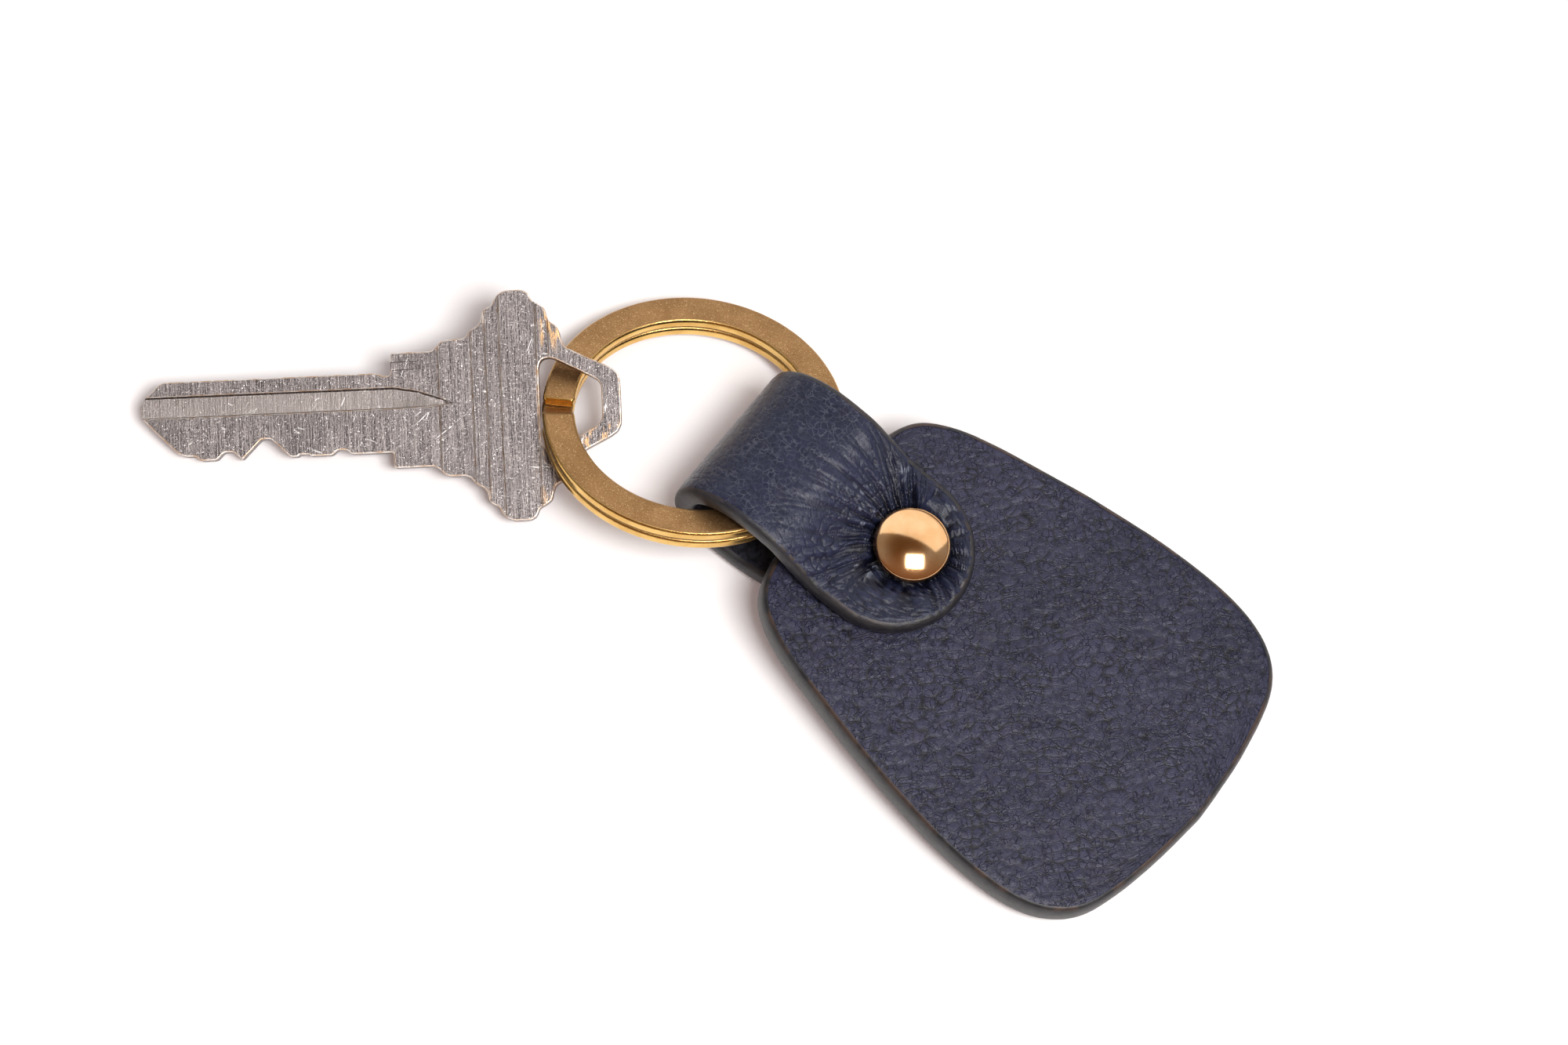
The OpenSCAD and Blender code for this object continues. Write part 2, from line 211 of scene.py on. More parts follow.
def grain(x, y, seed, size=1.02, lean=0.9, stretch=1.22):
    """Pebbled leather over plan points in mm: (height in mm, crease from 0 to 1)."""
    along = (x * math.cos(lean) + y * math.sin(lean)) / stretch
    across = y * math.cos(lean) - x * math.sin(lean)
    along = along + 0.34 * size * ripple(x, y, size, seed + 1) + 0.9 * size * ripple(x, y, 7.0, seed + 2)
    across = across + 0.34 * size * ripple(x, y, size, seed + 3) + 0.9 * size * ripple(x, y, 7.0, seed + 4)
    centre, border = cells(along, across, size, seed)
    strength = 0.5 + 0.5 * smoothstep(-0.5, 0.4, ripple(x, y, 1.4, seed + 6))
    crease = (1 - smoothstep(0.0, 0.34, border)) * strength
    height = 0.10 * (0.5 - centre ** 2) - 0.10 * crease + 0.020 * ripple(x, y, 0.55, seed + 8) \
        + 0.05 * ripple(x, y, 4.5, seed + 9)
    return height, crease


# ------------------------------------------------------------------ node helpers
class Nodes:
    """Short hand for building a material's node tree."""

    def __init__(self, name):
        self.mat = bpy.data.materials.new(name)
        self.mat.use_nodes = True
        self.tree = self.mat.node_tree
        self.tree.nodes.clear()
        self.out = self.tree.nodes.new("ShaderNodeOutputMaterial")
        self.bsdf = self.tree.nodes.new("ShaderNodeBsdfPrincipled")
        self.tree.links.new(self.bsdf.outputs[0], self.out.inputs[0])

    def new(self, kind, **props):
        n = self.tree.nodes.new("ShaderNode" + kind)
        for k, v in props.items():
            setattr(n, k, v)
        return n

    def put(self, socket, value):
        if isinstance(value, bpy.types.NodeSocket):
            self.tree.links.new(value, socket)
        else:
            socket.default_value = value

    def set(self, **values):
        for k, v in values.items():
            self.put(self.bsdf.inputs[k.replace("_", " ")], v)

    def math(self, op, a, b=0.0, c=0.0, clamp=False):
        n = self.new("Math", operation=op, use_clamp=clamp)
        for i, v in enumerate((a, b, c)):
            self.put(n.inputs[i], v)
        return n.outputs[0]

    def mix(self, fac, a, b, mode="MIX"):
        n = self.new("Mix", data_type="RGBA", blend_type=mode)
        self.put(n.inputs["Factor"], fac)
        self.put(n.inputs["A"], a)
        self.put(n.inputs["B"], b)
        return n.outputs["Result"]

    def ramp(self, value, low, high, to_low=0.0, to_high=1.0):
        n = self.new("MapRange", interpolation_type="SMOOTHSTEP")
        for i, v in enumerate((value, low, high, to_low, to_high)):
            self.put(n.inputs[i], v)
        return n.outputs[0]

    def attribute(self, name, vector=False):
        n = self.new("Attribute", attribute_name=name)
        return n.outputs["Vector" if vector else "Fac"]

    def scaled(self, vector, scale):
        n = self.new("Mapping")
        self.put(n.inputs["Vector"], vector)
        n.inputs["Scale"].default_value = scale
        return n.outputs[0]

    def moved(self, vector, shift):
        n = self.new("Mapping")
        self.put(n.inputs["Vector"], vector)
        n.inputs["Location"].default_value = (shift, shift * 0.7, 0)
        return n.outputs[0]

    def turned(self, vector, angle, scale, shift=0.0):
        """The vector turned first and then scaled, for texture stretched along a slant."""
        n = self.new("Mapping")
        self.put(n.inputs["Vector"], vector)
        n.inputs["Location"].default_value = (shift, shift * 0.7, 0)
        n.inputs["Rotation"].default_value = (0, 0, angle)
        return self.scaled(n.outputs[0], scale)

    def warped(self, vector, scale, amount):
        n = self.new("TexNoise")
        self.put(n.inputs["Vector"], vector)
        n.inputs["Scale"].default_value = scale
        v = self.new("VectorMath", operation="MULTIPLY_ADD")
        self.put(v.inputs[0], n.outputs["Color"])
        v.inputs[1].default_value = (amount, amount, amount)
        self.put(v.inputs[2], vector)
        return v.outputs[0]

    def noise(self, vector, scale, detail=4.0, rough=0.55, distortion=0.0):
        n = self.new("TexNoise")
        self.put(n.inputs["Vector"], vector)
        n.inputs["Scale"].default_value = scale
        n.inputs["Detail"].default_value = detail
        n.inputs["Roughness"].default_value = rough
        n.inputs["Distortion"].default_value = distortion
        return n.outputs["Fac"]

    def voronoi(self, vector, scale, feature="F1"):
        n = self.new("TexVoronoi", feature=feature)
        self.put(n.inputs["Vector"], vector)
        n.inputs["Scale"].default_value = scale
        return n.outputs["Distance"]

    def bump(self, height, distance, strength=1.0, normal=None):
        n = self.new("Bump")
        n.inputs["Strength"].default_value = strength
        n.inputs["Distance"].default_value = distance
        self.put(n.inputs["Height"], height)
        if normal is not None:
            self.put(n.inputs["Normal"], normal)
        return n.outputs[0]


def rgb(r, g, b):
    return (r, g, b, 1.0)


def leather_material(name, dark, light, roughness, glint_flecks=0.8, lines=1.0):
    m = Nodes(name)
    at = m.attribute("flat", vector=True)
    crease = m.attribute("crease")
    pull = m.attribute("pull")
    broad = m.noise(at, 0.09, 3)
    blotch = m.noise(at, 0.7, 5, 0.65)
    nap = m.noise(m.turned(at, 0.7, (5.5, 2.2, 1.0)), 1.0, 4, 0.7)
    pores = m.noise(at, 7.0, 3, 0.7)
    tone = m.math("ADD", m.math("MULTIPLY", broad, 0.4), m.math("MULTIPLY", blotch, 0.3))
    tone = m.math("ADD", tone, m.math("MULTIPLY", nap, 0.3))
    colour = m.mix(m.ramp(tone, 0.36, 0.64), rgb(*dark), rgb(*light))
    warm = m.ramp(m.noise(m.moved(at, 31), 0.35, 3), 0.5, 0.72)
    colour = m.mix(m.math("MULTIPLY", warm, 0.15), colour, rgb(0.036, 0.028, 0.042))
    # hair-fine creases between the pebbles, finer than the mesh
    bed = m.warped(at, 1.3, 0.8)
    hair = m.ramp(m.voronoi(m.scaled(bed, (1.0, 1.0, 1.0)), 1.55, "DISTANCE_TO_EDGE"), 0.015, 0.10, 1.0, 0.0)
    hair = m.math("MULTIPLY", hair, m.ramp(m.noise(m.moved(at, 77), 0.9, 3), 0.40, 0.60, 0.25, 1.0))
    hair = m.math("MULTIPLY", hair, m.ramp(pull, 0.1, 0.6, lines, 0.15 * lines))
    # where the bend stretches the leather its hairlines turn pale instead of dark
    stretch = m.attribute("stretch")
    pale = m.math("MULTIPLY", hair, stretch)
    hair = m.math("SUBTRACT", hair, pale)
    # painted shade: the creases and hairlines darken the base colour almost to black, where shade falls in them
    crease_shade_depth = m.math("MAXIMUM", crease, m.math("MULTIPLY", hair, 0.75), clamp=True)
    colour = m.mix(m.math("MULTIPLY", crease_shade_depth, 0.96), colour, rgb(*[c * 0.08 for c in dark]))
    colour = m.mix(m.math("MULTIPLY", pale, 1.6, clamp=True), colour, rgb(0.066, 0.072, 0.105))
    # painted highlight: bright specks, standing for glints, are painted beside some of the creases
    mottle = m.ramp(m.noise(m.scaled(at, (3.2, 4.6, 1.0)), 1.0, 2, 0.8), 0.64, 0.72)
    mottle = m.math("MULTIPLY", mottle, m.ramp(m.noise(m.moved(at, 57), 0.5, 3), 0.40, 0.60))
    mottle = m.math("MULTIPLY", mottle, m.ramp(crease, 0.06, 0.30))
    colour = m.mix(m.math("MULTIPLY", mottle, glint_flecks), colour, rgb(0.24, 0.25, 0.33))
    # painted highlight: the fan's glint dashes are painted pale blue-white over the leather
    colour = m.mix(m.math("MULTIPLY", m.attribute("dash"), 0.75, clamp=True), colour, rgb(0.36, 0.40, 0.50))
    rough = m.math("ADD", roughness, m.math("MULTIPLY", m.math("SUBTRACT", blotch, 0.5), 0.25))
    rough = m.math("SUBTRACT", rough, m.math("MULTIPLY", pull, 0.13), clamp=True)
    height = m.math("ADD", m.math("MULTIPLY", nap, 0.7), m.math("MULTIPLY", pores, 0.5))
    height = m.math("SUBTRACT", height, m.math("MULTIPLY", crease_shade_depth, 1.3))
    m.set(Base_Color=colour, Roughness=rough, Normal=m.bump(height, 0.00006, 0.9))
    m.bsdf.inputs["Specular IOR Level"].default_value = 0.26
    return m.mat


def edge_paint_material():
    m = Nodes("edge_paint")
    at = m.attribute("flat", vector=True)
    rim = m.attribute("rim")
    wave = m.noise(at, 0.7, 4, 0.6)
    colour = m.mix(m.ramp(wave, 0.35, 0.7), rgb(0.011, 0.011, 0.014), rgb(0.024, 0.023, 0.027))
    mottle = m.math("MULTIPLY", rim, m.ramp(m.noise(at, 0.35, 3), 0.42, 0.62))
    colour = m.mix(m.math("MULTIPLY", mottle, 0.55), colour, rgb(0.085, 0.045, 0.028))
    rough = m.math("ADD", 0.36, m.math("MULTIPLY", m.noise(at, 2.4, 4, 0.6), 0.16))
    m.set(Base_Color=colour, Roughness=rough,
          Normal=m.bump(m.math("ADD", m.noise(at, 1.6, 5, 0.62), m.math("MULTIPLY", m.noise(at, 11, 2), 0.25)),
                        0.00007, 0.8))
    m.bsdf.inputs["Specular IOR Level"].default_value = 0.5
    return m.mat


def brass_material():
    m = Nodes("antique_brass")
    at = m.attribute("flat", vector=True)
    wall = m.attribute("wall")
    tone = m.noise(at, 0.3, 4, 0.6)
    grit = m.noise(at, 9, 2, 0.7)
    sparkle = m.ramp(m.noise(m.moved(at, 12), 7.5, 1, 0.5), 0.60, 0.72)
    pit = m.ramp(m.noise(m.moved(at, 33), 6.0, 2, 0.7), 0.34, 0.44, 1.0, 0.0)
    face = m.mix(m.ramp(tone, 0.35, 0.65), rgb(0.345, 0.19, 0.080), rgb(0.42, 0.24, 0.104))
    # painted highlight: sparkle specks painted bright gold on the faces
    face = m.mix(m.math("MULTIPLY", sparkle, 0.55), face, rgb(0.85, 0.62, 0.32))
    face = m.mix(m.math("MULTIPLY", pit, 0.5), face, rgb(0.15, 0.075, 0.03))
    # painted reflection: the walls get a brighter, more saturated gold than the faces, standing for light thrown
    # between the coils
    side = m.mix(m.ramp(tone, 0.3, 0.7), rgb(0.66, 0.39, 0.11), rgb(0.85, 0.57, 0.20))
    rough = m.ramp(wall, 0.25, 0.95, 0.46, 0.13)
    rough = m.math("ADD", rough, m.math("MULTIPLY", m.math("SUBTRACT", grit, 0.5), 0.16))
    height = m.math("MULTIPLY", m.math("ADD", grit, m.math("MULTIPLY", m.noise(at, 4, 3), 0.5)),
                    m.ramp(wall, 0.2, 1.0, 1.0, 0.2))
    m.set(Base_Color=m.mix(m.ramp(wall, 0.3, 0.9), face, side), Roughness=rough,
          Normal=m.bump(height, 0.00004, 0.9))
    m.bsdf.inputs["Metallic"].default_value = 1.0
    return m.mat


def rivet_material():
    m = Nodes("rose_gold")
    at = m.scaled(m.new("TexCoord").outputs["Object"], (1000, 1000, 1000))
    tone = m.noise(at, 0.5, 3)
    colour = m.mix(m.ramp(tone, 0.3, 0.7), rgb(0.82, 0.46, 0.21), rgb(0.90, 0.56, 0.30))
    scuff = m.ramp(m.noise(m.scaled(at, (1, 7, 1)), 2.2, 4, 0.7), 0.55, 0.75)
    # painted shade: the cap's outer rim is darkened to deep brown in its colour
    rim = m.math("MULTIPLY", m.attribute("rim"), m.ramp(m.noise(at, 1.6, 4, 0.7), 0.3, 0.6, 0.55, 1.0))
    colour = m.mix(rim, colour, rgb(0.17, 0.075, 0.035))
    rough = m.math("ADD", 0.115, m.math("MULTIPLY", scuff, 0.08))
    m.set(Base_Color=colour, Roughness=rough, Normal=m.bump(m.noise(at, 5, 4, 0.7), 0.000004, 0.5))
    m.bsdf.inputs["Metallic"].default_value = 1.0
    return m.mat


def key_material():
    m = Nodes("nickel_silver")
    at = m.attribute("flat", vector=True)
    edge = m.attribute("edge")
    groove = m.attribute("groove")
    # tool lines run across the blade, so the noise is stretched along the key's height
    lines = m.noise(m.scaled(at, (7.0, 0.14, 1.0)), 1.0, 3, 0.7)
    fine = m.noise(m.scaled(at, (12.0, 1.6, 1.0)), 1.0, 3, 0.7)
    pits = m.noise(at, 5.0, 4, 0.75)
    smear = m.noise(at, 0.22, 4, 0.6)
    tone = m.math("ADD", m.math("MULTIPLY", lines, 0.34),
                  m.math("ADD", m.math("MULTIPLY", fine, 0.26), m.math("MULTIPLY", pits, 0.40)))
    metal = m.mix(m.ramp(tone, 0.41, 0.59), rgb(0.045, 0.039, 0.040), rgb(0.285, 0.253, 0.246))
    metal = m.mix(m.ramp(smear, 0.35, 0.7, 0.0, 0.4), metal, rgb(0.10, 0.088, 0.088))
    # the milled groove floors are fresh-cut metal with chatter marks, and are coloured brighter than the faces as a
    # painted reflection
    chatter = m.ramp(m.noise(m.scaled(at, (4.2, 0.03, 1.0)), 1.0, 2, 0.8), 0.42, 0.60)
    milled = m.mix(chatter, rgb(0.28, 0.248, 0.236), rgb(0.40, 0.36, 0.343))
    metal = m.mix(m.math("MULTIPLY", groove, 0.8), metal, milled)
    # painted highlight: small bright specks painted into the metal's colour as glints
    speck = m.ramp(m.noise(m.moved(at, 21), 5.5, 2, 0.8), 0.63, 0.69)
    metal = m.mix(m.math("MULTIPLY", speck, 0.85), metal, rgb(0.92, 0.88, 0.86))
    scratch = None
    for angle, shift, length, width in ((0.42, 3, 0.035, 1.1), (-0.62, 9, 0.04, 1.3), (0.98, 15, 0.05, 1.2),
                                        (-1.2, 27, 0.05, 1.0), (0.15, 35, 0.04, 0.8)):
        v = m.turned(at, angle, (length, width, 1.0), shift)
        line = m.ramp(m.math("ABSOLUTE", m.math("SUBTRACT", m.noise(v, 1.0, 1), 0.5)), 0.0, 0.009, 1.0, 0.0)
        line = m.math("MULTIPLY", line, m.ramp(m.noise(m.moved(at, shift + 40), 0.55, 2), 0.58, 0.62))
        scratch = line if scratch is None else m.math("MAXIMUM", scratch, line)
    metal = m.mix(m.math("MULTIPLY", scratch, 0.5), metal, rgb(0.95, 0.92, 0.90))
    # worn edges are painted bright metal; the same tone also paints the highlight on the bow lines' long sides
    edge_wear_and_sheen = m.ramp(m.noise(at, 0.8, 4, 0.65), 0.36, 0.62)
    edge_colour = m.mix(edge_wear_and_sheen, rgb(0.66, 0.46, 0.31), rgb(0.95, 0.89, 0.84))
    colour = m.mix(m.math("MULTIPLY", edge, 0.95), metal, edge_colour)
    patch = m.math("MULTIPLY", m.attribute("patch"),
                   m.ramp(m.noise(m.scaled(at, (1.7, 0.35, 1)), 1.0, 5, 0.75), 0.52, 0.58))
    patch = m.math("MULTIPLY", patch, m.ramp(fine, 0.36, 0.5))
    colour = m.mix(m.math("MULTIPLY", patch, 0.85, clamp=True), colour, rgb(0.66, 0.40, 0.19))
    rough = m.math("ADD", 0.27, m.math("MULTIPLY", pits, 0.20))
    height = m.math("ADD", m.math("MULTIPLY", lines, 0.7), m.math("MULTIPLY", fine, 0.5))
    height = m.math("SUBTRACT", m.math("ADD", height, m.math("MULTIPLY", pits, 0.5)),
                    m.math("MULTIPLY", scratch, 0.3))
    m.set(Base_Color=colour, Roughness=rough, Normal=m.bump(height, 0.00005, 0.9))
    m.bsdf.inputs["Metallic"].default_value = 1.0
    return m.mat


def board_material():
    m = Nodes("leather_board")
    at = m.scaled(m.new("TexCoord").outputs["Object"], (1000, 1000, 1000))
    fibre = m.noise(m.scaled(at, (1, 4, 1)), 1.2, 6, 0.7)
    m.set(Base_Color=m.mix(m.ramp(fibre, 0.35, 0.65), rgb(0.11, 0.065, 0.04), rgb(0.2, 0.13, 0.085)),
          Roughness=m.ramp(fibre, 0.3, 0.7, 0.7, 0.9),
          Normal=m.bump(fibre, 0.0001, 0.8))
    return m.mat


NAVY_DARK, NAVY_LIGHT = (0.018, 0.020, 0.046), (0.041, 0.041, 0.081)
FOB_LEATHER = leather_material("navy_leather", NAVY_DARK, NAVY_LIGHT, 0.29)
STRAP_LEATHER = leather_material("navy_leather_strap", (0.011, 0.014, 0.034), (0.024, 0.028, 0.062), 0.29, 0.5, 0.6)
LINING = leather_material("navy_lining", (0.013, 0.014, 0.024), (0.028, 0.031, 0.048), 0.55)
PAINT = edge_paint_material()
BRASS = brass_material()
ROSE = rivet_material()
NICKEL = key_material()
BOARD = board_material()

# ------------------------------------------------------------------ fob
FOB_LEN, FOB_WIDE, FOB_THICK = 51.2, 41.8, 4.2
FRONT_T, BACK_T = 1.2, 1.2
EDGE_W = 0.6
RIVET_TO_TOP, RIVET_OFF_FOB = 10.3, 0.85
FOB_HALF = [(0, 0), (0, 0.30), (0.006, 0.46), (0.03, 0.605), (0.075, 0.70), (0.15, 0.777),
            (0.28, 0.856), (0.43, 0.93), (0.59, 0.985), (0.715, 1), (0.815, 0.975), (0.888, 0.905),
            (0.94, 0.78), (0.967, 0.60), (0.988, 0.33), (1, 0)]


def fob_outline(count):
    half = [(q[0] * FOB_LEN - RIVET_TO_TOP, q[1] * FOB_WIDE / 2) for q in FOB_HALF]
    lower = catmull([(x, -y) for x, y in half], 12)[:-1]
    upper = catmull(half[::-1], 12)[:-1]
    p = resampled(np.vstack([lower, upper]), count, closed=True)
    return smoothed(p, 6) + (0, -RIVET_OFF_FOB)


def shoulder(d, reach, drop, power=2.4):
    """How far a face falls at distance d from its outline: 0 inside, drop at the outline."""
    t = np.clip(1 - d / reach, 0, 1)
    return drop * (1 - (1 - t ** power) ** (1 / power))


def rows_between(start, end, count, ends=18, lead=0.03):
    """Row positions along a face, closer together where a round end turns quickly."""
    turn = (1 - np.cos(np.linspace(lead, 1, ends) * math.pi / 2)) * 4.0
    return np.r_[start + turn, np.linspace(start + 4.0, end - 4.0, count)[1:-1], (end - turn)[::-1]]


def fob_half_width(x, line):
    """Lower and upper edge of a closed outline at each x."""
    low, high = line[line[:, 0].argmin()], line[line[:, 0].argmax()]
    i, j = line[:, 0].argmin(), line[:, 0].argmax()
    p = np.roll(line, -i, 0)
    j = (j - i) % len(line)
    under, over = p[:j + 1], np.vstack([p[j:], p[:1]])[::-1]
    return np.interp(x, under[:, 0], under[:, 1]), np.interp(x, over[:, 0], over[:, 1])


def border_of(rows, cols):
    """Indices round the outside of a grid, in order."""
    return list(range(cols)) + [k * cols + cols - 1 for k in range(1, rows)] \
        + list(range((rows - 1) * cols + cols - 2, (rows - 1) * cols - 1, -1)) \
        + [k * cols for k in range(rows - 2, 0, -1)]


def closed_slab(face, back, rows, cols, flip):
    """A dense grid face closed by a plain back, which is straight across each row."""
    n = len(face)
    rim = border_of(rows, cols)
    place = {v: n + k for k, v in enumerate(rim)}
    faces = grid_faces(rows, cols, 0, flip)
    turn = -1 if flip else 1
    for a, c in zip(rim, rim[1:] + rim[:1]):
        faces.append([a, c, place[c], place[a]][::-turn])
    left = [place[k * cols] for k in range(rows)]
    right = [place[k * cols + cols - 1] for k in range(rows)]
    first = [place[k] for k in range(cols)]
    last = [place[(rows - 1) * cols + k] for k in range(cols)]
    for k in range(rows - 1):
        near = first if k == 0 else [left[k], right[k]]
        far = last if k == rows - 2 else [left[k + 1], right[k + 1]]
        faces.append((near + far[::-1])[::-turn])
    return np.vstack([face, back[rim]]), faces


def slab_values(count, **values):
    """Point values of a slab: those of its face, then zeros for its plain back."""
    return {k: np.concatenate([v, np.zeros((count - len(v),) + v.shape[1:])]) for k, v in values.items()}


def fob_face(name, node, top, count, cols, seed, material):
    """One leather of the fob: a grained face that rolls over a little before the painted edge."""
    line = fob_outline(1600)
    edge = line - outward(line) * EDGE_W
    rows = rows_between(edge[:, 0].min(), edge[:, 0].max(), count)
    under, over = fob_half_width(rows, edge)
    b = np.linspace(-1, 1, cols)
    b = b * (1.12 - 0.12 * b * b)
    x = np.repeat(rows, cols)
    y = ((over + under)[:, None] / 2 + (over - under)[:, None] / 2 * b).ravel()
    d = np.full(len(x), 9.0)
    band = (np.abs(b) > 0.86)[None, :] | (np.minimum(rows - rows[0], rows[-1] - rows) < 3.4)[:, None]
    band = np.flatnonzero(band.ravel())
    for part in np.array_split(band, 40):
        gap = np.hypot(x[part, None] - line[None, ::2, 0], y[part, None] - line[None, ::2, 1])
        d[part] = gap.min(1)
    fall = shoulder(d, 1.9, 1.0)
    height, crease = grain(x, y, seed)
    fade = smoothstep(EDGE_W - 0.1, EDGE_W + 0.8, d)
    side = 1 if top else -1
    foot = FOB_THICK - FRONT_T if top else BACK_T
    w = height * (0.35 + 0.65 * fade) - fall * 0.62 - 0.02
    z = (FOB_THICK if top else 0) + side * w
    face = np.column_stack([x, y, z])
    back = np.column_stack([x, y, np.full(len(x), float(foot))])
    verts, faces = closed_slab(face, back, len(rows), cols, not top)
    flat = np.column_stack([x, y, np.full(len(x), seed * 7.0)])
    crease = crease * fade
    return make_piece(name, verts, faces, FOB, material, "fob", [node],
                      slab_values(len(verts), flat=flat, crease=crease, pull=crease * 0), sharp=0)


def fob_edge(around=560):
    """The rounded, painted rim of the fob."""
    line = fob_outline(around)
    normal = outward(line)
    steps = 26
    t = np.linspace(-1, 1, steps)
    half = FOB_THICK / 2
    # rounded section: t runs from the back face round the rim to the front face
    ang = t * math.pi / 2
    inset = 0.95 * (1 - np.abs(np.cos(ang)) ** 0.62)
    rise = half * np.sign(np.sin(ang)) * np.abs(np.sin(ang)) ** 0.86
    keep = inset < EDGE_W + 0.16
    inset, rise = inset[keep], rise[keep] * 0.985
    rows = len(inset)
    s = np.arange(around) / around
    wave = ripple(line[:, 0], line[:, 1], 3.0, 31, 2) * 0.03
    ring = []
    for d, r in zip(inset, rise):
        q = line - normal * (d + 0.03 + np.maximum(wave, -0.02)[:, None] * 0.8)
        ring.append(np.column_stack([q, np.full(around, half + r)]))
    inner_in = EDGE_W + 0.25
    inner = line - normal * inner_in
    ring.append(np.column_stack([inner, np.full(around, FOB_THICK - 0.45)]))
    ring.append(np.column_stack([inner, np.full(around, 0.45)]))
    verts = np.vstack(ring + [ring[0]])[: (rows + 2) * around]
    faces = ring_faces(rows + 2, around)
    last = (rows + 1) * around
    for i in range(around):
        j = (i + 1) % around
        faces.append([last + i, last + j, j, i])
    length = s * 150
    flat = np.vstack([np.column_stack([length, r[:, 2], np.zeros(around)]) for r in ring])
    rim = np.repeat(np.r_[smoothstep(0.72, 0.97, rise / half), 0, 0], around)
    obj = make_piece("fob_edge_paint_band", verts, faces, FOB, PAINT, "fob", ["fob_edge_paint"],
                     {"flat": flat, "rim": rim}, sharp=60)
    return obj


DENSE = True
FINE = 2 if DENSE else 1
fob_face("fob_front_leather_grained", "fob_front_leather", True, 162 * FINE, 136 * FINE, 1, FOB_LEATHER)
fob_face("fob_back_leather_grained", "fob_back_leather", False, 120 * FINE, 100 * FINE, 2, FOB_LEATHER)
fob_edge()

# ------------------------------------------------------------------ strap
STRAP_WIDE, STRAP_T, OUTER_T = 18.0, 2.5, 1.3
RIVET_OFF_STRAP, STRAP_END = 1.35, 7.4
GAP = 0.05
FRONT_Z = FOB_THICK + GAP + STRAP_T / 2
BACK_Z = -GAP - STRAP_T / 2
LOOP_TOP, LOOP_LOW = FRONT_Z + 2.95, BACK_Z - 2.1
FOLD_X, UPPER_R, LOWER_R = -21.55, 6.95, 4.25


def arc(cx, cy, r, a0, a1, n):
    a = np.radians(np.linspace(a0, a1, n + 1))
    return np.stack([cx + r * np.cos(a), cy + r * np.sin(a)], 1)


def strap_path():
    """Middle line of the strap from its front tip round the loop to its back tip."""
    up = catmull([(-4.2, FRONT_Z), (-5.6, FRONT_Z + 0.16), (-8.2, FRONT_Z + 1.35), (-10.8, LOOP_TOP - 0.35),
                  (-12.6, LOOP_TOP - 0.03), (FOLD_X + UPPER_R, LOOP_TOP)], 12)
    down = catmull([(-14.6, LOOP_LOW), (-13, LOOP_LOW + 0.1), (-10.8, LOOP_LOW + 0.85), (-8.6, BACK_Z - 0.5),
                    (-6.6, BACK_Z - 0.05), (-5.2, BACK_Z)], 12)
    p = np.vstack([[(STRAP_END, FRONT_Z)], up[:-1],
                   arc(FOLD_X + UPPER_R, LOOP_TOP - UPPER_R, UPPER_R, 90, 180, 40),
                   arc(FOLD_X + LOWER_R, LOOP_LOW + LOWER_R, LOWER_R, 180, 270, 30),
                   down, [(STRAP_END, BACK_Z)]])
    p = resampled(p, 900)
    return smoothed(p, 60, closed=False)


PATH = strap_path()
PATH_S = np.r_[0, np.cumsum(np.linalg.norm(np.diff(PATH, axis=0), axis=1))]
PATH_LEN = PATH_S[-1]
_d = np.gradient(PATH, axis=0)
PATH_OUT = np.stack([_d[:, 1], -_d[:, 0]], 1) / np.linalg.norm(_d, axis=1)[:, None]


def bent(u, v, w):
    """A point of the flat strap (along, across, off the middle plane) in the bent strap."""
    x = np.interp(u, PATH_S, PATH[:, 0]) + w * np.interp(u, PATH_S, PATH_OUT[:, 0])
    z = np.interp(u, PATH_S, PATH[:, 1]) + w * np.interp(u, PATH_S, PATH_OUT[:, 1])
    return np.stack([x, v - RIVET_OFF_STRAP, z], 1)


def stadium_half(u, inset):
    """Half width of the flat strap's plan at u, inset from the outline all round."""
    r = STRAP_WIDE / 2
    e = np.minimum(u, PATH_LEN - u)
    t = np.clip(r - e, 0, None)
    return np.sqrt(np.clip((r - inset) ** 2 - t ** 2, 0, None))


def edge_distance(u, v):
    """Distance of a plan point from the strap's outline."""
    r = STRAP_WIDE / 2
    e = np.minimum(u, PATH_LEN - u)
    t = np.clip(r - e, 0, None)
    return r - np.hypot(t, v)


RIVET_U, RIVET_V = STRAP_END, RIVET_OFF_STRAP
CAP_R = 4.1


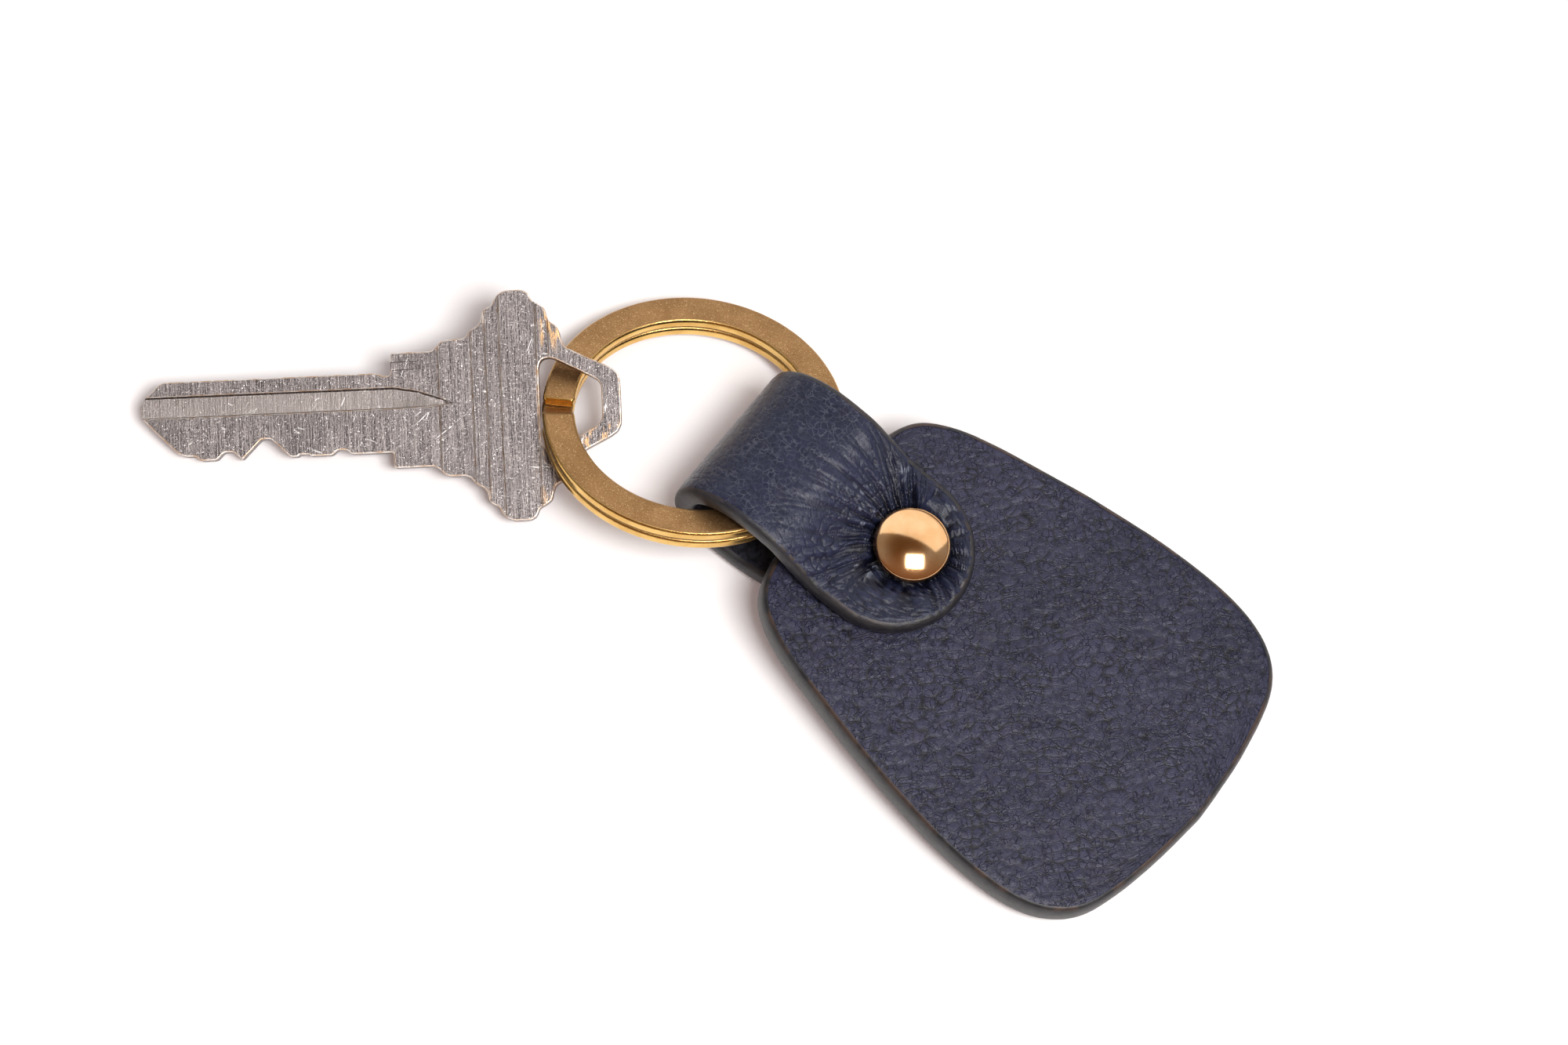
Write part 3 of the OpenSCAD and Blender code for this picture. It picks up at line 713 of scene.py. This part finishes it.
def puckers(u, v):
    """Leather pulled in round the rivet: (height in mm, how tight, fold valleys painted dark as shade, bright streaks
    of painted highlight).
    """
    du, dv = u - RIVET_U, v - RIVET_V
    r = np.hypot(du, dv)
    a = np.arctan2(dv, du)
    cx, cy = np.cos(a), np.sin(a)
    to_loop = smoothstep(0.05, 0.75, cx)
    # folds fan out from the cap, so they are noise over the angle that changes slowly with distance
    fold = [np.abs(ripple(cx * k + 40, cy * k + 40 + r * g, 1.0, 40 + k))
            for k, g in ((4, 0.10), (10, 0.26), (22, 0.40), (36, 0.5))]
    away = np.clip(r - CAP_R, 0, None)
    near = np.exp(-(away / 3.1) ** 1.6)
    fan = to_loop * np.exp(-(away / 8.5) ** 2)
    folds = near * (0.60 * fold[0] + 0.70 * fold[1] - 0.42) \
        + fan * (0.14 * fold[0] + 0.30 * fold[1] + 0.28 * fold[2] - 0.20)
    pinch = -0.62 * np.exp(-((r - CAP_R + 0.3) / 1.2) ** 2)
    under_cap = smoothstep(CAP_R - 1.4, CAP_R - 0.5, r)
    # painted shade: the fold valleys join the creases and are painted dark in the leather's colour
    valley = np.maximum(1 - smoothstep(0.04, 0.30, fold[1]), 1 - smoothstep(0.03, 0.22, fold[0])) * near ** 0.6
    valley = np.clip(np.maximum(valley, fan * (1 - smoothstep(0.02, 0.20, fold[2]))), 0, 1)
    # painted shadow: a dark ring on the leather close round the cap's edge
    valley = np.maximum(valley, np.exp(-((r - CAP_R + 0.1) / 0.55) ** 2))
    bare = smoothstep(7.0, 11.0, r)
    # painted highlight: short bright dashes where the fan's finest ridges are cut up by the grain
    broken = smoothstep(0.05, 0.45, ripple(u, v, 0.6, 46)) * smoothstep(-0.2, 0.4, ripple(u, v, 2.0, 47))
    dash = smoothstep(0.56, 0.80, fold[3]) * broken * np.clip(1.2 * fan + 0.4 * near, 0, 1) * (1 - bare)
    return folds * under_cap + pinch, np.clip(near + fan, 0, 1), valley, dash


def strap_rows(inset, straight):
    r = STRAP_WIDE / 2
    cap = inset + (r - inset) * (1 - np.cos(np.linspace(0.06, 1, 26) * math.pi / 2))
    mid = np.linspace(r, PATH_LEN - r, straight)[1:-1]
    return np.r_[cap, mid, (PATH_LEN - cap)[::-1]]


def strap_layer(name, node, outer, material):
    """The strap's outer leather or its lining: one grained face, one plain face inside."""
    inset = 0.5
    rows = strap_rows(inset, 280 * FINE if outer else 200)
    cols = 66 * FINE if outer else 50
    b = np.sin(np.linspace(-1, 1, cols) * math.pi / 2 * 0.82) / math.sin(math.pi / 2 * 0.82)
    u = np.repeat(rows, cols)
    v = (stadium_half(rows, inset)[:, None] * b[None, :]).ravel()
    d = edge_distance(u, v)
    fade = smoothstep(inset, inset + 0.8, d)
    half = STRAP_T / 2
    middle = half - OUTER_T
    fall = shoulder(d, 1.6, 1.0) * 0.62
    bend = smoothstep(13, 19, u) * (1 - smoothstep(PATH_LEN - 19, PATH_LEN - 13, u))
    if outer:
        height, crease = grain(u, v, 5, 0.85, 0.0, 1.5)
        front = 1 - smoothstep(PATH_LEN / 2 - 4, PATH_LEN / 2 + 4, u)
        pucker, pull, valley, dash = (part * front for part in puckers(u, v))
        # the bend stretches the pebbles flat and leaves only hair-fine lines
        height = height * (1 - 0.8 * bend)
        height = height * (1 - 0.45 * pull)
        crease = np.maximum(crease * (1 - 0.7 * bend) * (1 - 0.5 * pull), valley)
        w = half - fall + height * fade * 0.85 + pucker * smoothstep(inset - 0.1, inset + 0.6, d)
    else:
        height, crease = grain(u, v, 6, 1.3)
        wrinkle = np.abs(ripple(u, v, 1.1, 61, 2))
        w = -(half - fall + height * fade * 0.5 - 0.12 * bend * wrinkle * fade) + 0.03
        pull = dash = bend = np.zeros(len(u))
    face, back = bent(u, v, w), bent(u, v, np.full(len(u), middle))
    verts, faces = closed_slab(face, back, len(rows), cols, not outer)
    n = len(u)
    flat = np.column_stack([u, v, np.full(n, 3.0 if outer else 8.0)])
    return make_piece(name, verts, faces, STRAP, material, "strap", [node],
                      slab_values(len(verts), flat=flat, crease=crease * fade, pull=pull, dash=dash, stretch=bend), sharp=0)


def strap_outline(count):
    r = STRAP_WIDE / 2
    c = PATH_LEN - r
    a = np.radians(np.linspace(90, 270, 90))
    left = np.stack([r + r * np.cos(a), r * np.sin(a)], 1)
    a = np.radians(np.linspace(-90, 90, 90))
    right = np.stack([c + r * np.cos(a), r * np.sin(a)], 1)
    return resampled(np.vstack([left, right]), count, closed=True)


def strap_edge(around=900):
    """The painted bullnose round the strap's outline."""
    line = strap_outline(around)
    normal = outward(line)
    t = np.linspace(-1, 1, 20)
    ang = t * math.pi / 2
    half = STRAP_T / 2
    inset = 1.0 * (1 - np.abs(np.cos(ang)) ** 0.7)
    rise = half * np.sign(np.sin(ang)) * np.abs(np.sin(ang)) ** 0.85 * 0.97
    keep = inset < 0.72
    inset, rise = inset[keep], rise[keep]
    wave = ripple(line[:, 0], line[:, 1], 2.5, 51, 2) * 0.03
    pucker = puckers(line[:, 0], line[:, 1])[0]
    pucker = np.where(line[:, 0] > PATH_LEN / 2, 0, pucker)
    ring = []
    for d, r in zip(inset, rise):
        q = line - normal * (d + 0.02 + np.maximum(wave, -0.01)[:, None])
        ring.append((q, r + pucker * 0.7 * smoothstep(-half, half, r)))
    inner = line - normal * 0.75
    ring.append((inner, np.full(around, half - 0.35)))
    ring.append((inner, np.full(around, -half + 0.35)))
    verts = np.vstack([bent(q[:, 0], q[:, 1], np.broadcast_to(w, (around,))) for q, w in ring])
    rows = len(ring)
    faces = ring_faces(rows, around)
    last = (rows - 1) * around
    for i in range(around):
        j = (i + 1) % around
        faces.append([last + i, last + j, j, i])
    s = np.arange(around) / around * 130
    flat = np.vstack([np.column_stack([s, np.full(around, k * 0.3), np.full(around, 20.0)]) for k in range(rows)])
    rim = np.repeat(np.r_[smoothstep(0.8, 0.98, rise / half), 0, 0], around) * 0.6
    return make_piece("strap_edge_paint_band", verts, faces, STRAP, PAINT, "strap", ["strap_edge_paint"],
                      {"flat": flat, "rim": rim}, sharp=60)


strap_layer("strap_outer_leather_grained", "strap_outer_leather", True, STRAP_LEATHER)
strap_layer("strap_lining_leather_soft", "strap_lining_leather", False, LINING)
strap_edge()


# ------------------------------------------------------------------ rivet
def revolved(name, profile, place, around, material, body, nodes, sharp=50, closed=False):
    """A profile of (radius, height) points turned about the local Z axis; it starts and ends on the axis."""
    prof = np.asarray(profile, float)
    a = np.arange(around) / around * 2 * math.pi
    verts = [[0, 0, prof[0][1]]]
    for r, z in prof[1:-1]:
        verts += np.stack([r * np.cos(a), r * np.sin(a), np.full(around, z)], 1).tolist()
    verts.append([0, 0, prof[-1][1]])
    rows = len(prof) - 2
    faces = ring_faces(rows, around, 1)
    end = len(verts) - 1
    for i in range(around):
        j = (i + 1) % around
        faces.append([0, 1 + j, 1 + i])
        faces.append([end, 1 + (rows - 1) * around + i, 1 + (rows - 1) * around + j])
    radius = np.hypot(*np.array(verts)[:, :2].T)
    rim = smoothstep(0.915, 0.99, radius / CAP_R)
    return make_piece(name, verts, faces, place, material, body, nodes, {"rim": rim}, sharp=sharp)


def dome_profile(height, drum):
    """Outside of the domed cap from its underside to near its top."""
    r = CAP_R
    cup = height - drum
    ball = (r * r + cup * cup) / (2 * cup)
    pts = [(r - 0.75, 0.02), (r - 0.32, 0.0), (r - 0.12, 0.06), (r - 0.02, 0.2)]
    # the shoulder turns from the upright drum into the dome without a corner
    turn = 0.5
    lean = math.asin((r - turn) / ball)
    corner = turn / (1 - math.sin(lean))
    middle = height - ball + math.cos(lean) * (ball - corner)
    for a in np.linspace(0, math.pi / 2 - lean, 9):
        pts.append((r - corner + corner * math.cos(a), middle + corner * math.sin(a)))
    for a in np.linspace(lean, 0, 26)[1:-1]:
        pts.append((ball * math.sin(a), height - ball + ball * math.cos(a)))
    return pts


DOME_Z = FOB_THICK + GAP + STRAP_T + 0.04
DOME_H = 2.0


def front_cap():
    out = dome_profile(DOME_H, DOME_H * 0.38)
    inside_r = CAP_R - 0.78
    profile = [(0, 0.75), (inside_r - 0.3, 0.75), (inside_r, 0.6), (inside_r, 0.12)] + out + [(0, DOME_H)]
    revolved("rivet_front_cap_domed", profile, FOB @ Matrix.Translation((0, 0, DOME_Z)), 160,
             ROSE, "fob", ["rivet_front_cap"], sharp=70)


def back_cap():
    z = -GAP - STRAP_T - 0.04
    h = 0.65
    profile = [(0, 0), (CAP_R - 0.2, 0), (CAP_R - 0.04, -0.06), (CAP_R, -0.18), (CAP_R - 0.05, -h * 0.62),
               (CAP_R - 0.2, -h * 0.86), (CAP_R - 0.5, -h * 0.97), (CAP_R - 1.0, -h), (1.6, -h),
               (1.3, -h + 0.08), (0.6, -h + 0.12), (0, -h + 0.13)]
    revolved("rivet_back_cap_flat", profile[::-1], FOB @ Matrix.Translation((0, 0, z)), 128,
             ROSE, "fob", ["rivet_back_cap"], sharp=50)


front_cap()
back_cap()

# ------------------------------------------------------------------ split ring
RING_RO, WIRE_W, COIL_T, COIL_GAP = 16.0, 3.4, 1.3, 0.06
STEP_AT, STEP_ARC = 180.0, 9.0


def wire_section(r=0.42, n=6):
    """Rounded section of the wire: (radius, height above the coil's foot, how much it is a wall)."""
    w, h = WIRE_W, COIL_T - COIL_GAP / 2
    ri = RING_RO - w
    pts = []
    for cx, cy, a0 in ((ri + w - r, r, -90), (ri + w - r, h - r, 0), (ri + r, h - r, 90), (ri + r, r, 180)):
        for a in np.radians(np.linspace(a0, a0 + 90, n)):
            pts.append((cx + r * math.cos(a), cy + r * math.sin(a), abs(math.cos(a))))
    return np.array(pts)


def split_ring():
    sec = wire_section()
    m = len(sec)
    top_end = STEP_AT + 360
    start = STEP_AT + STEP_ARC
    ang = np.r_[np.linspace(top_end, start, 240), np.linspace(start, STEP_AT, 26)[1:],
                np.linspace(STEP_AT, start - 360, 240)[1:]]
    t = np.clip((start - ang) / STEP_ARC, 0, 1)
    level = COIL_GAP / 2 - (COIL_T + COIL_GAP / 2) * (3 * t * t - 2 * t ** 3)
    verts, flat, wall = [], [], []
    for k, (a, z) in enumerate(zip(ang, level)):
        c, s = math.cos(math.radians(a)), math.sin(math.radians(a))
        end = min(k, len(ang) - 1 - k)
        soft = 0.12 if end == 0 else 0.0
        for r, h, wl in sec:
            mid = RING_RO - WIRE_W / 2
            rr = mid + (r - mid) * (1 - soft)
            hh = (h - COIL_T / 2) * (1 - soft * 1.3) + COIL_T / 2
            verts.append((rr * c, rr * s, hh + z))
            flat.append((rr * c, rr * s, (h + z) * 1.7 + (30 if wl > 0.5 else 0)))
            wall.append(wl)
    n = len(ang)
    faces = ring_faces(n, m)
    faces.append(list(range(m)))
    faces.append(list(range(n * m - 1, (n - 1) * m - 1, -1)))
    for side in (0, n - 1):
        for i in range(m):
            wall[side * m + i] = 0.9
    make_piece("split_ring_wire", verts, faces, RING, BRASS, "ring", ["split_ring"],
               {"flat": flat, "wall": wall}, sharp=46)


split_ring()

# ------------------------------------------------------------------ key
KEY_T, BLADE_H, BLADE_LEN = 1.9, 8.4, 26.4
FIRST_CUT, CUT_PITCH = 5.4, 3.95
CUTS = (0.5, 0.2, 2.0, 0.8, 0.5)
BOW_MID, BOW_LEN = 0.2, 24.0
BOW_HALF = [(0, 6.05), (4.2, 6.05), (4.8, 6.4), (5.3, 7.0), (5.9, 7.2), (7.5, 7.2), (8.0, 7.45),
            (8.5, 8.1), (9.3, 8.55), (9.65, 9.0), (9.75, 9.8), (10.1, 10.3), (10.8, 10.6), (11.15, 11.3),
            (11.6, 11.85), (12.4, 12.15), (14.1, 12.15), (14.7, 11.8), (15.05, 10.95), (15.8, 10.55),
            (16.4, 10.1), (16.6, 9.2), (16.9, 8.55), (17.5, 8.25), (17.85, 7.6), (17.95, 6.7),
            (18.4, 5.9), (19.6, 5.25), (BOW_LEN - 1.2, 3.7), (BOW_LEN - 0.45, 3.2),
            (BOW_LEN - 0.05, 2.5), (BOW_LEN, 1.5)]
HOLE_HALF = [(15.5, 3.8), (15.65, 4.4), (16.05, 4.78), (16.7, 4.86), (17.4, 4.62),
             (21.1, 2.65), (21.75, 2.2), (22.0, 1.6)]
LINES = (4.95, 8.45, 9.95, 11.45, 15.3, 16.6)
GROOVE = 0.6


def blade_foot():
    """The cut edge of the blade from shoulder to tip."""
    pts = []
    for i, depth in enumerate(CUTS):
        c = -FIRST_CUT - i * CUT_PITCH
        y = -BLADE_H / 2
        pts += [(c + 0.5 + depth, y), (c + 0.5, y + depth), (c - 0.5, y + depth), (c - 0.5 - depth, y)]
    return pts


def key_outline():
    """Key outline, anticlockwise seen from the front."""
    top = [(q[0], q[1] + BOW_MID) for q in BOW_HALF]
    foot = [(q[0], BOW_MID - q[1]) for q in BOW_HALF]
    h = BLADE_H / 2
    blade_top = [(-0.02, h - 0.3), (-0.9, h - 0.3), (-1.6, h), (-BLADE_LEN + 2.3, h), (-BLADE_LEN + 0.25, 2.3),
                 (-BLADE_LEN, 1.7), (-BLADE_LEN + 0.15, 0.5), (-BLADE_LEN + 1.8, -1.3),
                 (-BLADE_LEN + 3.9, -3.4), (-BLADE_LEN + 4.3, -3.55)]
    cuts = [p for p in blade_foot()[::-1] if p[0] > -BLADE_LEN + 4.4]
    return foot + top[::-1] + blade_top + cuts + [(-0.02, -h)]


def rounded_outline(points, radius, n=4):
    """Every corner of a closed outline replaced by a short arc."""
    p = np.asarray(points, float)
    out = []
    for i in range(len(p)):
        a, b, c = p[i - 1], p[i], p[(i + 1) % len(p)]
        u, v = a - b, c - b
        lu, lv = np.linalg.norm(u), np.linalg.norm(v)
        r = min(radius, 0.42 * lu, 0.42 * lv)
        s, e = b + u / lu * r, b + v / lv * r
        for t in np.linspace(0, 1, n):
            out.append((1 - t) ** 2 * s + 2 * t * (1 - t) * b + t * t * e)
    return np.array(out)


def extruded(name, outline, z0, z1):
    """A closed prism object, used as a cutter or as a blank."""
    n = len(outline)
    verts = [(x, y, z0) for x, y in outline] + [(x, y, z1) for x, y in outline]
    faces = [list(range(n - 1, -1, -1)), list(range(n, 2 * n))]
    faces += [[i, (i + 1) % n, n + (i + 1) % n, n + i] for i in range(n)]
    mesh = bpy.data.meshes.new(name)
    mesh.from_pydata([tuple(c for c in v) for v in verts], [], faces)
    mesh.update()
    obj = bpy.data.objects.new(name, mesh)
    bpy.context.scene.collection.objects.link(obj)
    bm = bmesh.new()
    bm.from_mesh(mesh)
    bmesh.ops.recalc_face_normals(bm, faces=bm.faces)
    bm.to_mesh(mesh)
    bm.free()
    return obj


def cut_away(blank, cutters, operation="DIFFERENCE"):
    for c in cutters:
        mod = blank.modifiers.new("cut", "BOOLEAN")
        mod.operation = operation
        mod.solver = "EXACT"
        mod.object = c
    dg = bpy.context.evaluated_depsgraph_get()
    mesh = bpy.data.meshes.new_from_object(blank.evaluated_get(dg))
    blank.modifiers.clear()
    blank.data = mesh
    for c in cutters:
        bpy.data.objects.remove(c)
    return blank


def trough(name, plan_top, plan_floor, z_face, depth, side, lip=0.0):
    """A milled groove with sloped walls: wide at the face, narrow at its floor, with a chamfered lip."""
    n = len(plan_top)
    out = 0.6
    middle = sum(y for x, y in plan_top) / n
    wide = [(x, y + (lip if y > middle else -lip)) for x, y in plan_top]
    verts = [(x, y, z_face + side * out) for x, y in wide]
    verts += [(x, y, z_face) for x, y in wide]
    if lip:
        verts += [(x, y, z_face - side * lip) for x, y in plan_top]
    verts += [(x, y, z_face - side * depth * k) for (x, y), k in plan_floor]
    rows = len(verts) // n
    faces = [list(range(n)), list(range(rows * n - 1, (rows - 1) * n - 1, -1))]
    for row in range(0, (rows - 1) * n, n):
        faces += [[row + i, row + n + i, row + n + (i + 1) % n, row + (i + 1) % n] for i in range(n)]
    mesh = bpy.data.meshes.new(name)
    mesh.from_pydata(verts, [], faces)
    obj = bpy.data.objects.new(name, mesh)
    bpy.context.scene.collection.objects.link(obj)
    bm = bmesh.new()
    bm.from_mesh(mesh)
    bmesh.ops.triangulate(bm, faces=bm.faces)
    bmesh.ops.recalc_face_normals(bm, faces=bm.faces)
    bm.to_mesh(mesh)
    bm.free()
    return obj


def key_piece():
    half = KEY_T / 2
    outline = rounded_outline(key_outline(), 0.28, 4)
    hole = rounded_outline([(x, y + BOW_MID) for x, y in HOLE_HALF[::-1]]
                           + [(x, BOW_MID - y) for x, y in HOLE_HALF], 0.35, 4)
    blank = extruded("key_blank", outline, -half, half)
    cut_away(blank, [extruded("key_hole", hole, -KEY_T, KEY_T)])
    # soften the blanked edges before milling, as wear does
    bm = bmesh.new()
    bm.from_mesh(blank.data)
    rim = [e for e in bm.edges if len(e.link_faces) == 2
           and any(abs(f.normal.z) > 0.9 for f in e.link_faces)
           and any(abs(f.normal.z) < 0.1 for f in e.link_faces)]
    bmesh.ops.bevel(bm, geom=rim, offset=0.13, segments=3, profile=0.5, affect="EDGES", clamp_overlap=True)
    bm.to_mesh(blank.data)
    bm.free()
    end = -BLADE_LEN - 1
    top = [(end, 2.66), (0.2, 2.62), (2.6, 2.18), (4.8, 1.42), (6.45, 0.78), (5, 0.56), (0, 0.40), (end, 0.40)]
    floor = [((end, 2.50), 0.9), ((0.2, 2.46), 0.9), ((2.6, 2.02), 0.75), ((4.6, 1.30), 0.45), ((6.2, 0.80), 0.2),
             ((5, 0.62), 0.4), ((0, 0.50), 0.75), ((end, 0.50), 0.75)]
    back_top = [(end, -2.2), (0.2, -2.2), (4.2, -1.7), (5.6, -1.2), (4.2, -0.7), (0.2, -0.5), (end, -0.5)]
    back_floor = [((end, -2.0), 1), ((0.2, -2.0), 1), ((3.9, -1.6), 0.5), ((5.2, -1.2), 0.05),
                  ((3.9, -0.8), 0.5), ((0.2, -0.7), 1), ((end, -0.7), 1)]
    cutters = [trough("groove", top, floor, half, GROOVE, 1, 0.08),
               trough("back_groove", back_top, back_floor, -half, GROOVE, -1)]
    sh = [(-1, 4.42), (3.6, 4.42), (3.6, 5.3), (-1, 5.3)]
    sh_floor = [((-1, 4.5), 1), ((2.4, 4.5), 0.35), ((2.4, 5.24), 0.3), ((-1, 5.24), 0.7)]
    cutters.append(trough("shoulder_groove", sh, sh_floor, half, 0.3, 1))
    for x in LINES:
        for side in (1, -1):
            strip = [(x - 0.10, -14), (x + 0.12, -14), (x + 0.12, 14), (x - 0.10, 14)]
            fl = [((x - 0.06, -14), 0.45), ((x - 0.02, -14), 0.45), ((x - 0.02, 14), 0.45), ((x - 0.06, 14), 0.45)]
            cutters.append(trough("line", strip, fl, side * half, 0.12, side))
    cut_away(blank, cutters)
    mesh = blank.data
    bm = bmesh.new()
    bm.from_mesh(mesh)
    bmesh.ops.triangulate(bm, faces=[f for f in bm.faces if len(f.verts) > 4])
    # split long edges so that the wear attribute has points to live on
    for limit in (6.0, 3.0, 1.5, 0.9):
        long_edges = [e for e in bm.edges if e.calc_length() > limit]
        bmesh.ops.subdivide_edges(bm, edges=long_edges, cuts=1, use_grid_fill=False)
        bmesh.ops.triangulate(bm, faces=[f for f in bm.faces if len(f.verts) > 4])
    bm.to_mesh(mesh)
    bm.free()
    co = np.zeros(len(mesh.vertices) * 3, np.float32)
    mesh.vertices.foreach_get("co", co)
    co = co.reshape(-1, 3).astype(float)
    x, y = co[:, 0], co[:, 1]
    patch = np.maximum(smoothstep(15.4, 16.2, x) * smoothstep(5.2, 7.5, np.abs(y)),
                       smoothstep(15.0, 16.4, x) * (1 - smoothstep(16.8, 17.6, x)) * smoothstep(3, 5, -y))
    patch = np.maximum(patch, smoothstep(19, 20.5, x) * smoothstep(1.5, 3.0, -y) * 0.9)
    # a face is worn metal where it leans, and groove where it lies level below the key's faces
    lean = np.array([abs(p.normal.z) for p in mesh.polygons])
    deep = np.array([half - abs(p.center.z) for p in mesh.polygons])
    centre = np.array([p.center[:2] for p in mesh.polygons])
    borders = np.vstack([resampled(line, 900, closed=True) for line in (outline, hole)])
    edge = (lean < 0.985) & (deep < 0.14)
    for part in np.array_split(np.flatnonzero(edge), 40):
        near = np.hypot(centre[part, None, 0] - borders[None, :, 0], centre[part, None, 1] - borders[None, :, 1])
        edge[part] = near.min(1) < 0.32
    groove_line = resampled(top, 900, closed=True)
    for part in np.array_split(np.flatnonzero((lean < 0.9) & (deep < 0.09) & (centre[:, 0] < 6.8)), 20):
        near = np.hypot(centre[part, None, 0] - groove_line[None, :, 0], centre[part, None, 1] - groove_line[None, :, 1])
        edge[part] |= near.min(1) < 0.12
    edge = edge.astype(float)
    # the milled bow lines get a painted highlight on their long side, in the worn-edge colour
    at_line = np.abs(centre[:, :1] - np.array(LINES)[None, :]).min(1) < 0.12
    edge[at_line & (lean > 0.75) & (lean < 0.985) & (deep < 0.1) & (edge == 0)] = 0.55
    groove = ((lean > 0.8) & (deep > 0.2)).astype(float)
    for name_, domain, values in (("edge", "FACE", edge), ("groove", "FACE", groove), ("patch", "POINT", patch)):
        a = mesh.attributes.new(name_, "FLOAT", domain)
        a.data.foreach_set("value", values.astype(np.float32))
    a = mesh.attributes.new("flat", "FLOAT_VECTOR", "POINT")
    flat = co.copy()
    flat[:, 2] = np.sign(flat[:, 2]) * 5.0 + flat[:, 2] * 0.2
    a.data.foreach_set("vector", flat.astype(np.float32).ravel())
    m = np.array(KEY)
    world = co @ m[:3, :3].T + m[:3, 3]
    mesh.vertices.foreach_set("co", world.astype(np.float32).ravel())
    mesh.update()
    blank.name = "house_key"
    finish_piece(blank, NICKEL, "key", ["key"], sharp=12)


key_piece()

# ------------------------------------------------------------------ hidden CAD pieces
for node, material in (("fob_core_board", BOARD), ("rivet_socket", ROSE), ("rivet_post", ROSE)):
    obj = frame["nodes"][node]
    obj.data.materials.clear()
    obj.data.materials.append(material)


# ------------------------------------------------------------------ floor, light, camera
def floor():
    size = 3.0
    bpy.ops.mesh.primitive_grid_add(x_subdivisions=8, y_subdivisions=8, size=size, location=(0, 0, -0.00002))
    obj = bpy.context.object
    obj.name = "floor"
    m = Nodes("floor")
    at = m.new("TexCoord").outputs["Object"]
    tone = m.noise(at, 3.0, 3)
    m.set(Base_Color=m.mix(tone, rgb(0.875, 0.88, 0.885), rgb(0.895, 0.90, 0.905)))
    m.bsdf.inputs["Roughness"].default_value = 0.7
    m.bsdf.inputs["Specular IOR Level"].default_value = 0.15
    # a lit sweep: the faint glow keeps shadows as light and as pink as on an overexposed backdrop
    m.bsdf.inputs["Emission Color"].default_value = rgb(1.0, 0.78, 0.80)
    m.bsdf.inputs["Emission Strength"].default_value = 0.13
    obj.data.materials.append(m.mat)


def area_light(name, direction, distance, size, power, size_y=None, turn=0.0, diffuse=True, glossy=True):
    """A panel that faces the object; a panel without diffuse light shows only in reflections."""
    data = bpy.data.lights.new(name, "AREA")
    data.shape = "RECTANGLE" if size_y else "SQUARE"
    data.size = size
    if size_y:
        data.size_y = size_y
    data.energy = power
    obj = bpy.data.objects.new(name, data)
    bpy.context.scene.collection.objects.link(obj)
    d = Vector(direction).normalized()
    side = Vector((1, 0, 0)) - d * d.x
    side.normalize()
    obj.matrix_world = (Matrix.Translation(SHIFT * MM + d * distance)
                        @ Matrix((side, d.cross(side), d)).transposed().to_4x4() @ turned("Z", turn))
    obj.visible_diffuse = diffuse
    obj.visible_glossy = glossy
    return obj


def world():
    w = bpy.data.worlds.new("studio")
    bpy.context.scene.world = w
    w.use_nodes = True
    t = w.node_tree
    t.nodes.clear()
    out = t.nodes.new("ShaderNodeOutputWorld")
    back = t.nodes.new("ShaderNodeBackground")
    coord = t.nodes.new("ShaderNodeTexCoord")
    split = t.nodes.new("ShaderNodeSeparateXYZ")
    ramp = t.nodes.new("ShaderNodeValToRGB")
    t.links.new(coord.outputs["Generated"], split.inputs[0])
    t.links.new(split.outputs["Z"], ramp.inputs[0])
    # the front of the room is darker and warmer than the back
    front = t.nodes.new("ShaderNodeMapRange")
    t.links.new(split.outputs["Y"], front.inputs[0])
    for i, v in enumerate((-0.05, -0.55, 0.0, 0.8)):
        front.inputs[i + 1].default_value = v
    mix = t.nodes.new("ShaderNodeMix")
    mix.data_type = "RGBA"
    t.links.new(front.outputs[0], mix.inputs["Factor"])
    t.links.new(ramp.outputs[0], mix.inputs["A"])
    mix.inputs["B"].default_value = (0.36, 0.17, 0.065, 1)
    t.links.new(mix.outputs["Result"], back.inputs[0])
    t.links.new(back.outputs[0], out.inputs[0])
    el = ramp.color_ramp.elements
    el[0].position, el[0].color = 0.0, (0.30, 0.26, 0.25, 1)
    el[1].position, el[1].color = 1.0, (0.20, 0.11, 0.05, 1)
    for place, colour in ((0.35, (0.50, 0.47, 0.45, 1)), (0.78, (0.50, 0.47, 0.45, 1)), (0.93, (0.24, 0.15, 0.085, 1))):
        step = el.new(place)
        step.color = colour
    back.inputs[1].default_value = 0.6


CAM_LEAN = (-0.08, -0.385, 1.0)
CAM_DISTANCE = 480
PX_PER_MM = 12.05
FRAME_W = 2000


def camera():
    data = bpy.data.cameras.new("camera")
    obj = bpy.data.objects.new("camera", data)
    bpy.context.scene.collection.objects.link(obj)
    back = Vector(CAM_LEAN).normalized()
    up = Vector((0, 1, 0))
    up = (up - back * up.dot(back)).normalized()
    right = up.cross(back)
    m = Matrix((right, up, back)).transposed().to_4x4()
    m.translation = (SHIFT + back * CAM_DISTANCE) * MM
    obj.matrix_world = m
    data.sensor_width = 36
    data.lens = data.sensor_width * PX_PER_MM * CAM_DISTANCE / FRAME_W
    data.clip_start, data.clip_end = 0.01, 10
    bpy.context.scene.camera = obj


floor()
world()
area_light("softbox", (0.25, -0.35, 0.90), 1.0, 0.46, 10.0, size_y=0.34)
area_light("far_wall", (0.19, 0.71, 0.675), 1.2, 3.0, 11.0, size_y=1.25, turn=-14.0, diffuse=False)
area_light("overhead_fill", (0.0, 0.0, 1.0), 1.6, 2.4, 4.8, glossy=False)
camera()
bpy.context.scene.view_settings.view_transform = "Standard"
